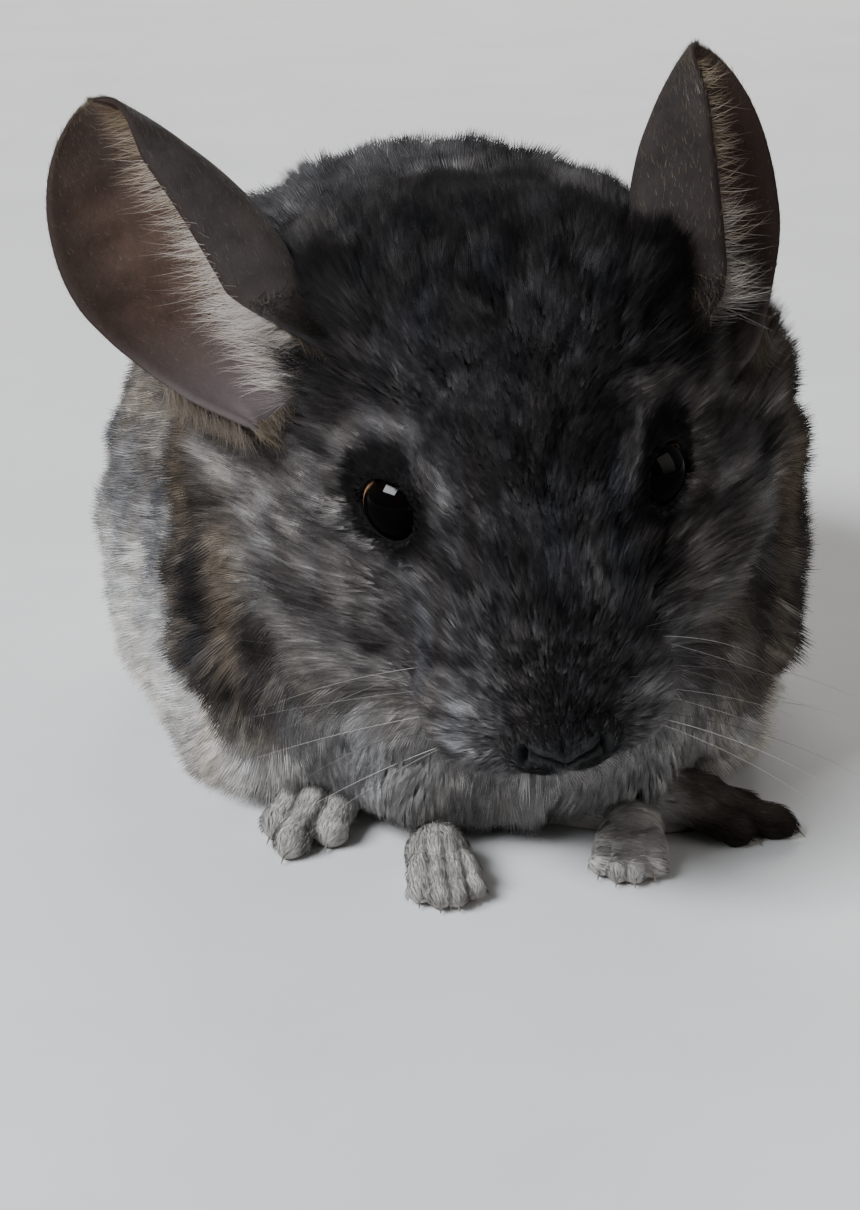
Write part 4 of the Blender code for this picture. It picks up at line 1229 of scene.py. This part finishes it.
def make_whiskers(material):
    """Long tapered whiskers from the pads, that droop to both sides, and a few short ones over each eye."""
    rng = np.random.default_rng(5)
    starts, ways, droops, lengths, radii, shade = [], [], [], [], [], []
    share = np.linspace(0, 1, 16)[:, None]

    def grow(start, way, droop, length, radius, tint):
        """One whisker from its root in the head's frame, that sets off one way and droops another."""
        starts.append(in_body(from_head(np.array(start, float))))
        ways.append(unit(np.array(way, float)))
        droops.append(droop)
        lengths.append(length)
        radii.append(radius * (1 - 0.85 * share[:, 0]))
        shade.append(tint)

    for sign in (1, -1):
        for row in range(PAD_ROWS):
            for number in range(PAD_COLUMNS):
                start = (sign * (9.5 + 1.8 * number + 0.6 * row), -35 + 3.6 * number, 2.0 - 2.6 * row)
                lift = 0.10 - 0.12 * row + 0.09 * rng.normal()
                way = (sign, 0.10 + 0.14 * number + 0.10 * rng.normal(), lift)
                droop = (sign * -0.08, rng.uniform(0.0, 0.2), -0.14 + 0.05 * rng.normal())
                tint = rng.uniform(0, 0.3) if row < 3 else rng.uniform(0.5, 1)
                grow(start, way, droop, rng.uniform(*PAD_LENGTHS), 0.05, tint)
        for number in range(BROW_COUNT):
            start = (sign * (15 - 1.5 * number), 6 + 1.5 * number, 15.0)
            way = (sign * 0.7, -0.2, 0.6 + 0.2 * number)
            droop = (sign * 0.1, 0.2, -0.1)
            grow(start, way, droop, rng.uniform(*BROW_LENGTHS), 0.04, rng.uniform(0, 0.3))
    length = np.array(lengths)[:, None, None]
    paths = np.array(starts)[:, None] + np.array(ways)[:, None] * length * share
    paths = paths + np.array(droops)[:, None] * length * share**2
    points, faces, along, size = swept(paths, np.array(radii), 5)
    points = from_body(points)
    points[:, 2] = np.maximum(points[:, 2], 0.5 * MM)
    values = {"shade": np.repeat(np.array(shade), size)}
    skin = SURFACES["skin"]
    roots = from_body(np.array(starts))
    nearest = [np.argmin(((skin.middle - root) ** 2).sum(axis=1)) for root in roots]
    places = np.repeat(skin.corner_uv[nearest].mean(axis=1), size, axis=0)
    places[:, 1] += PATCH * (along - 0.5)
    return finish_piece(mesh_object("whiskers", points, faces, places, values), material, "coat")


# The paws

# Length, width, height, the number of toes, the toes' share of the length, and a claw's length.
FOREPAW = (21, 9, 9, 4, 0.5, 1.8)
HIND_FOOT = (52, 10, 12, 3, 0.33, 2.6)
# Each paw: where its wrist or heel stands on the floor, its turn about the upright, and its sizes.
PAWS = [
    ((-12, 8), 0.0, FOREPAW), ((21, 13), math.radians(-14), FOREPAW),
    ((-13, 56), math.radians(-26), HIND_FOOT), ((-1, 27), math.radians(70), HIND_FOOT),
]
# How many tufts the paws have, and the seed of their random draws.
PAW_COAT = (17000, 77)
CLAW_RADIUS = 0.42
PAW_VOXEL = 0.45
SOLE_HEIGHT = 0.1
# How far apart the toes' middle lines stand at their roots, and how much more at their tips, against the
# paw's width.
TOE_SPREAD = (0.62, 0.34)


def stand_at(points, place, turn):
    """Points of a paw that faces forwards from the origin, turned and moved to where it stands."""
    cos, sin = math.cos(turn), math.sin(turn)
    matrix = np.array([[cos, -sin, 0], [sin, cos, 0], [0, 0, 1]])
    return points @ matrix.T + np.array([*place, 0])


def toe_paths(place, turn, sizes):
    """The middle line of each toe: out of the palm, up over the knuckle and down to the floor."""
    length, width, height, toes, share, _ = sizes
    half, palm = width / 2, length * (1 - share)
    off = np.linspace(-1, 1, toes)
    reach = length * (1 - 0.12 * off**2)
    t = np.linspace(0, 1, 16)[None, :]
    start, end = -palm * 0.8, -(reach - 1.2)
    y = start + (end[:, None] - start) * t
    x = off[:, None] * half * (TOE_SPREAD[0] + TOE_SPREAD[1] * t)
    arch = height * 0.40 + height * 0.12 * np.sin(np.clip(t / 0.6, 0, 1) * math.pi)
    z = arch * (1 - t**2.2) + 1.5 * t**2.2
    path = np.stack([x, y, z + 0 * x], -1)
    thick = half * 1.5 / toes + 0.35
    bulge = 1 + 0.16 * np.exp(-(((t - 0.45) / 0.12) ** 2)) + 0.14 * np.exp(-(((t - 0.88) / 0.1) ** 2))
    radii = thick * 0.92 * bulge * np.sqrt(np.clip((1.03 - t) / 0.14, 0.05, 1)) + 0 * off[:, None]
    return stand_at(path, place, turn), radii


def paw_forms(place, turn, sizes):
    """A paw's toes as swept tubes and its palm as an ellipsoid, as lists of points and faces."""
    path, radii = toe_paths(place, turn, sizes)
    toes = swept(path, radii, 14)[:2]
    length, width, height, _, share, _ = sizes
    palm = length * (1 - share)
    polar, angle = round_grid(24, 32)
    ball = np.stack([np.sin(polar) * np.cos(angle), np.sin(polar) * np.sin(angle), np.cos(polar)], -1)
    ball = ball.reshape(-1, 3) * np.array([width * 0.55, palm * 0.62, height * 0.55])
    ball = ball + np.array([0, -palm * 0.55, height * 0.38])
    quads = grid_faces(24, 32, closed=True)
    palm_faces = np.concatenate([quads[:, [0, 2, 1]], quads[:, [0, 3, 2]]])
    return toes, (stand_at(ball, place, turn), palm_faces)


def make_paws(material):
    """All four paws as one fused skin, flat where they stand."""
    shape = bmesh.new()
    for paw in PAWS:
        for points, faces in paw_forms(*paw):
            add_form(shape, points, faces)
    bmesh.ops.remove_doubles(shape, verts=shape.verts, dist=1e-7)
    bmesh.ops.recalc_face_normals(shape, faces=shape.faces)
    made = fused(shape, PAW_VOXEL, 2)
    points = points_of(made)
    points[:, 2] = np.maximum(points[:, 2], SOLE_HEIGHT * MM)
    made.vertices.foreach_set("co", points.astype(np.float32).ravel())
    made.update()
    made.shade_smooth()
    obj = bpy.data.objects.new("paws", made)
    bpy.context.scene.collection.objects.link(obj)
    unwrap(obj)
    tone, warm = paw_markings(points)
    set_values(made, {"tone": tone, "warm": warm})
    return finish_piece(
        obj, material, "paw_fur", "forepaw_left", "forepaw_right", "hind_foot_left", "hind_foot_right"
    )


def nearest_paw(body):
    """For each point, the number in PAWS of the paw that it belongs to."""
    far = []
    for place, turn, (length, *_) in PAWS:
        centre = np.array([*place, 0]) + np.array([math.sin(turn), -math.cos(turn), 0]) * length / 2
        far.append(np.linalg.norm(body - centre, axis=1) - length / 2)
    return np.argmin(far, axis=0)


def paw_markings(points, _=None):
    """Pale grey paws, with painted shade between the toes. The left hind foot is darkened all over with
    painted shade, and darkest below.
    """
    body = in_body(points)
    hind = ease(body[:, 0], 27, 32)
    tone = 0.80 + 0.04 * waves(body, 5, 2)
    nearest = nearest_paw(body)
    for number, (place, turn, (length, width, _, toes, share, _)) in enumerate(PAWS):
        x, y = body[:, 0] - place[0], body[:, 1] - place[1]
        across = x * math.cos(turn) + y * math.sin(turn)
        ahead = x * math.sin(turn) - y * math.cos(turn)
        t = (ahead + 0.8 * length * (1 - share)) / (0.8 * length * (1 - share) + length)
        lane = (across / (width / 2 * (TOE_SPREAD[0] + TOE_SPREAD[1] * t)) + 1) / 2 * (toes - 1)
        # Painted shade in the grooves between the toes.
        between = (0.5 - 0.5 * np.cos(2 * math.pi * lane)) ** 5 * (abs(across) < width * 0.5)
        tone -= 0.22 * between * ease(t, 0.42, 0.66) * (nearest == number)
    # Painted shade: the left hind foot, which stands in shade, darkens all over and most towards the floor.
    tone = mix(tone, 0.18 + 0.3 * ease(body[:, 2], 3, 7), hind)
    return np.clip(tone, 0, 1), 0.35 + 0.3 * hind


def paw_fields(obj):
    """Short hair over the paws that lies towards the toes, and none under them."""
    points, normal = points_of(obj.data), normals_of(obj.data)
    body = in_body(points)
    ways = np.array([(math.sin(turn), -math.cos(turn), -0.3) for _, turn, _ in PAWS])
    way = ways[nearest_paw(body)]
    lie = along_skin(way, normal)
    one = np.ones(len(points))
    return {
        "height": 0.35 * one, "run": 1.7 * one, "lie": lie, "normal": normal, "width": 0.15 * one,
        "closeness": ease(normal[:, 2], -0.6, -0.1) + 1e-6, "clump": 1.0 * one,
        "skull": 0 * one, "brush": 0 * one, "ear": one,
    }


def make_claws(material):
    """A small curved claw at the end of each toe."""
    paths, radii = [], []
    t = np.linspace(0, 1, 8)[None, :, None]
    top = np.array([0, 0, 0.5]) * (1 - t)
    for place, turn, sizes in PAWS:
        path, _ = toe_paths(place, turn, sizes)
        ahead = unit(path[:, -1] - path[:, -4]) * np.array([1, 1, 0.2])
        claw = path[:, -1][:, None] + ahead[:, None] * (sizes[-1] * t - 0.8) + top
        claw = claw - np.array([0, 0, 1.0]) * t**2
        claw[..., 2] = np.maximum(claw[..., 2], 0.25)
        paths.append(claw)
        radii.append(np.repeat(CLAW_RADIUS * (1 - 0.85 * t[..., 0]), len(claw), axis=0))
    points, faces, *_ = swept(np.concatenate(paths), np.concatenate(radii), 8)
    return finish_piece(mesh_object("claws", from_body(points), faces), material, "nose_skin")


# The stage

# The camera's place in the body's frame, and the turn and rise of its view.
CAMERA_PLACE = (-67.32, -425.04, 195.57)
CAMERA_AZIMUTH = math.radians(-9)
CAMERA_RISE = math.radians(17)
# The photo's frame, the pixel of the eyes' middle, and the lens's length, in pixels.
FRAME_WIDTH, FRAME_HEIGHT = 860, 1210
EYES_PIXEL = (520, 485)
FOCAL_PIXELS = 3015
SENSOR = 36
# Each light: its place, where it points, its size, and its colour, in metres.
LIGHTS = {
    "window": ((-1.15, -0.8, 1.2), (0, -0.08, 0.06), (1.2, 0.5), (0.93, 0.96, 1.0)),
    "back": ((0.3, 1.3, 0.8), (0, 0.08, 0.05), (1.0, 0.5), (1.0, 0.98, 0.95)),
    "fill": ((0.6, -0.5, 0.35), (0, -0.08, 0.05), (0.6, 0.6), (1.0, 0.97, 0.93)),
}
FLOOR_REACH = 2


def make_camera():
    """The photo's viewpoint, turned so that the eyes' middle falls on its pixel of the frame."""
    aside, above = EYES_PIXEL[0] - FRAME_WIDTH / 2, FRAME_HEIGHT / 2 - EYES_PIXEL[1]
    rise = CAMERA_RISE + math.atan(above / FOCAL_PIXELS)
    turn = CAMERA_AZIMUTH + math.atan(aside / FOCAL_PIXELS / math.cos(CAMERA_RISE))
    view = Vector((-math.sin(turn) * math.cos(rise), math.cos(turn) * math.cos(rise), -math.sin(rise)))
    data = bpy.data.cameras.new("photo_view")
    data.sensor_width = SENSOR
    data.lens = SENSOR * FOCAL_PIXELS / FRAME_HEIGHT
    data.clip_start = 0.01
    camera = bpy.data.objects.new("photo_view", data)
    bpy.context.scene.collection.objects.link(camera)
    camera.location = from_body(CAMERA_PLACE)
    camera.rotation_mode = "QUATERNION"
    camera.rotation_quaternion = view.to_track_quat("-Z", "Y")
    bpy.context.scene.camera = camera


def make_light(name, power, place, target, size, colour):
    """An oblong light that shines from its place to its target."""
    data = bpy.data.lights.new(name, "AREA")
    data.shape = "RECTANGLE"
    data.size, data.size_y = size
    data.energy = power
    data.color = colour
    light = bpy.data.objects.new(name, data)
    bpy.context.scene.collection.objects.link(light)
    light.location = Vector(place)
    light.rotation_euler = (Vector(target) - Vector(place)).to_track_quat("-Z", "Y").to_euler()


# Settings


class SkinSettings(bpy.types.PropertyGroup):
    """The skin under the coat"""

    voxel: FloatProperty(
        name="Fineness", description="The size of the skin's faces", default=0.0012, unit="LENGTH"
    )


class CoatSettings(bpy.types.PropertyGroup):
    """The coat"""

    depth: FloatProperty(
        name="Coat depth", description="How far the coat stands off the skin", default=0.0095, unit="LENGTH"
    )
    tuft_width: FloatProperty(
        name="Tuft width", description="Every tuft's width against its usual one", default=1.0,
        subtype="FACTOR",
    )
    clumping: FloatProperty(
        name="Clumping", description="How far the tips draw together", default=0.22, subtype="FACTOR"
    )
    roundness: FloatProperty(
        name="Clump roundness", description="How far the shading rounds each clump", default=0.5,
        subtype="FACTOR",
    )
    density: FloatProperty(
        name="Density", description="The number of tufts against the usual one", default=1.0,
        subtype="FACTOR",
    )


class ColourSettings(bpy.types.PropertyGroup):
    """The colours of the bare parts"""

    ear: FloatVectorProperty(
        name="Inner ear", description="The lighter colour of the skin inside the ears",
        default=(0.064, 0.039, 0.029), subtype="COLOR",
    )
    # The colour of the painted glow that light through the cornea makes at the iris's edge.
    amber: FloatVectorProperty(
        name="Eye's edge", description="The colour of the thin arc at the iris's edge",
        default=(0.50, 0.30, 0.17), subtype="COLOR",
    )
    nose: FloatVectorProperty(
        name="Nose", description="The lighter colour of the nose's down",
        default=(0.016, 0.0175, 0.018), subtype="COLOR",
    )
    claw: FloatVectorProperty(
        name="Claws", description="The lighter colour of the claws",
        default=(0.20, 0.17, 0.14), subtype="COLOR",
    )


class StageSettings(bpy.types.PropertyGroup):
    """The lights and the room"""

    window: FloatProperty(
        name="Window light", description="Power of the light from the left", default=60.0, unit="POWER"
    )
    back: FloatProperty(
        name="Back light", description="Power of the light from behind", default=12.0, unit="POWER"
    )
    fill: FloatProperty(
        name="Fill light", description="Power of the light from the right", default=1.1, unit="POWER"
    )
    room: FloatProperty(
        name="Room light", description="Brightness of the room", default=0.11, subtype="FACTOR"
    )


# Operators

# The surfaces that later pieces are rooted on, by name.
SURFACES = {}


class CHINCHILLA_OT_skin(bpy.types.Operator):
    """Makes the skin that lies under the coat"""

    bl_idname = "chinchilla.skin"
    bl_label = "Skin"

    def execute(self, context):
        mesh = outline_mesh(context.scene.chinchilla_skin.voxel / MM)
        points, edges = points_of(mesh), edges_of(mesh)
        flesh = [points_of(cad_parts[node].data) for node in FLESH]
        owner = np.repeat(list(FLESH.values()), [len(part) for part in flesh])
        region = owner[nearest_of(points, np.concatenate(flesh))[0]]
        fields = fields_of(mesh, region, edges)
        depth = spread(fields["depth"], edges, 10)
        inward = unit(spread(normals_of(mesh), edges, 5))
        skin = points - inward * depth[:, None] * MM
        smooth = spread(skin, edges, 10)
        skin = mix(skin, smooth, ease(depth, 2.5, 7)[:, None])
        skin[:, 2] = np.maximum(skin[:, 2], SKIN_CLEARANCE * MM)
        mesh.vertices.foreach_set("co", skin.astype(np.float32).ravel())
        mesh.update()
        mesh.shade_smooth()
        obj = bpy.data.objects.new("skin", mesh)
        context.scene.collection.objects.link(obj)
        tone, warm = coat_markings(points, fields)
        set_values(mesh, {"tone": tone, "warm": warm})
        unwrap(obj)
        mesh.materials.clear()
        finish_piece(obj, skin_material(), "coat", *FLESH)
        surface = Surface(obj, fields)
        surface.region = region[surface.triangles[:, 0]]
        SURFACES["skin"] = surface
        return {"FINISHED"}


class CHINCHILLA_OT_coat(bpy.types.Operator):
    """Grows the coat over the head, body, legs and tail"""

    bl_idname = "chinchilla.coat"
    bl_label = "Coat"

    def execute(self, context):
        surface = SURFACES["skin"]
        density = context.scene.chinchilla_coat.density * 1
        body, head = in_body(surface.middle), in_head(surface.middle)
        region, right = surface.region, body[:, 0] < 0
        trunk, skull = (region == TORSO) | (region == HIND_LEG), region == SKULL
        front = trunk & (body[:, 1] < CHEST_END)
        top = trunk & ~front & ((body[:, 2] > BACK_HEIGHT) | (body[:, 1] > RUMP))
        face = head[:, 1] < FACE_END
        # Each piece of the coat: how many tufts it has, and the triangles that they stand on.
        parts = {
            "coat_face": (26000, skull & face),
            "coat_head_right": (26000, skull & ~face & (head[:, 0] < 0)),
            "coat_head_left": (26000, skull & ~face & (head[:, 0] >= 0)),
            "coat_neck": (17000, region == NECK),
            "coat_chest": (22000, front),
            "coat_flank_right": (20000, trunk & ~front & ~top & right),
            "coat_flank_left": (20000, trunk & ~front & ~top & ~right),
            "coat_back": (14000, top),
            "coat_forelegs": (5000, region == FORELEG),
            "coat_tail": (11000, region == TAIL),
        }
        material = fur_material()
        for seed, (name, (count, where)) in enumerate(parts.items()):
            if not where.any():
                raise RuntimeError(f"{name} has no skin to grow on")
            make_coat(name, surface, int(count * density), where, seed + 1, material)
        return {"FINISHED"}


class CHINCHILLA_OT_ears(bpy.types.Operator):
    """Makes both ears and the fine hair on them"""

    bl_idname = "chinchilla.ears"
    bl_label = "Ears"

    def execute(self, context):
        skin = ear_material(context.scene.chinchilla_colours.ear)
        hair = hair_material("ear_down", (0.02, 0.017, 0.016), (0.20, 0.15, 0.09), (0.48, 0.44, 0.42))
        for side in EARS:
            make_ear(side, skin)
            ear_hair(side, hair)
        return {"FINISHED"}


class CHINCHILLA_OT_eyes(bpy.types.Operator):
    """Makes both eyes and their lids"""

    bl_idname = "chinchilla.eyes"
    bl_label = "Eyes"

    def execute(self, context):
        eye = eye_material(context.scene.chinchilla_colours.amber)
        dark, light = (0.0015, 0.0014, 0.0014), (0.005, 0.0045, 0.0045)
        lid = bare_skin_material("lid_skin", dark, light, 0.6, 0.06, 900, 0.4)
        for name, sign in (("left", 1), ("right", -1)):
            make_eye(name, sign, eye)
            make_lids(name, sign, lid)
        return {"FINISHED"}


class CHINCHILLA_OT_nose(bpy.types.Operator):
    """Makes the nose pad and the whiskers"""

    bl_idname = "chinchilla.nose"
    bl_label = "Nose and whiskers"

    def execute(self, context):
        nose = make_nose(nose_material(context.scene.chinchilla_colours.nose))
        surface = Surface(nose, nose_fields(nose))
        where = np.ones(len(surface.triangles), bool)
        count, seed = NOSE_COAT
        make_coat("coat_nose", surface, count, where, seed, fur_material(), slot="nose_skin")
        dark, middle, light = (0.012, 0.010, 0.010), (0.09, 0.085, 0.08), (0.50, 0.48, 0.46)
        make_whiskers(hair_material("whisker_hair", dark, middle, light))
        return {"FINISHED"}


class CHINCHILLA_OT_paws(bpy.types.Operator):
    """Makes the four paws with their hair and claws"""

    bl_idname = "chinchilla.paws"
    bl_label = "Paws"

    def execute(self, context):
        paws = make_paws(skin_material())
        surface = Surface(paws, paw_fields(paws))
        where = np.ones(len(surface.triangles), bool)
        count, seed = PAW_COAT
        make_coat("coat_paws", surface, count, where, seed, fur_material(), paw_markings, "paw_fur")
        dark, light = (0.10, 0.08, 0.065), context.scene.chinchilla_colours.claw
        make_claws(bare_skin_material("claw_horn", dark, light, 0.35, 0.3, 400, 0.2))
        return {"FINISHED"}


class CHINCHILLA_OT_stage(bpy.types.Operator):
    """Makes the pale floor, the soft lights and the camera"""

    bl_idname = "chinchilla.stage"
    bl_label = "Floor, lights and camera"

    def execute(self, context):
        settings = context.scene.chinchilla_stage
        points = np.array([(-1, -1, 0), (1, -1, 0), (1, 1, 0), (-1, 1, 0)], float) * FLOOR_REACH
        floor = mesh_object("floor", points, np.array([[0, 1, 2, 3]]))
        floor.data.materials.append(floor_material())
        for name, light in LIGHTS.items():
            make_light(name, getattr(settings, name), *light)
        world = bpy.data.worlds.new("room")
        context.scene.world = world
        world.use_nodes = True
        room = settings.room
        world.node_tree.nodes["Background"].inputs["Color"].default_value = (room, room, room, 1)
        make_camera()
        return {"FINISHED"}


class CHINCHILLA_PT_panel(bpy.types.Panel):
    """Lists the settings and the operators in the 3D view's sidebar"""

    bl_idname = "CHINCHILLA_PT_panel"
    bl_label = "Chinchilla"
    bl_space_type = "VIEW_3D"
    bl_region_type = "UI"
    bl_category = "Chinchilla"

    def draw(self, context):
        for name in SETTINGS:
            group = getattr(context.scene, name)
            column = self.layout.column()
            for key in group.bl_rna.properties.keys():
                if key not in {"rna_type", "name"}:
                    column.prop(group, key)
        for operator in OPERATORS:
            self.layout.operator(operator.bl_idname)


OPERATORS = [
    CHINCHILLA_OT_skin, CHINCHILLA_OT_coat, CHINCHILLA_OT_ears, CHINCHILLA_OT_eyes,
    CHINCHILLA_OT_nose, CHINCHILLA_OT_paws, CHINCHILLA_OT_stage,
]
SETTINGS = {
    "chinchilla_skin": SkinSettings, "chinchilla_coat": CoatSettings,
    "chinchilla_colours": ColourSettings, "chinchilla_stage": StageSettings,
}
CLASSES = [*SETTINGS.values(), *OPERATORS, CHINCHILLA_PT_panel]


def register():
    """Registers the classes, and gives each scene its settings."""
    for item in CLASSES:
        bpy.utils.register_class(item)
    for name, group in SETTINGS.items():
        setattr(bpy.types.Scene, name, PointerProperty(type=group))


def unregister():
    """Takes the settings and the classes away again."""
    for name in SETTINGS:
        delattr(bpy.types.Scene, name)
    for item in reversed(CLASSES):
        bpy.utils.unregister_class(item)


def main():
    """Builds every piece and the stage."""
    register()
    bpy.ops.chinchilla.skin()
    bpy.ops.chinchilla.coat()
    bpy.ops.chinchilla.ears()
    bpy.ops.chinchilla.eyes()
    bpy.ops.chinchilla.nose()
    bpy.ops.chinchilla.paws()
    bpy.ops.chinchilla.stage()


if __name__ == "__main__":
    main()
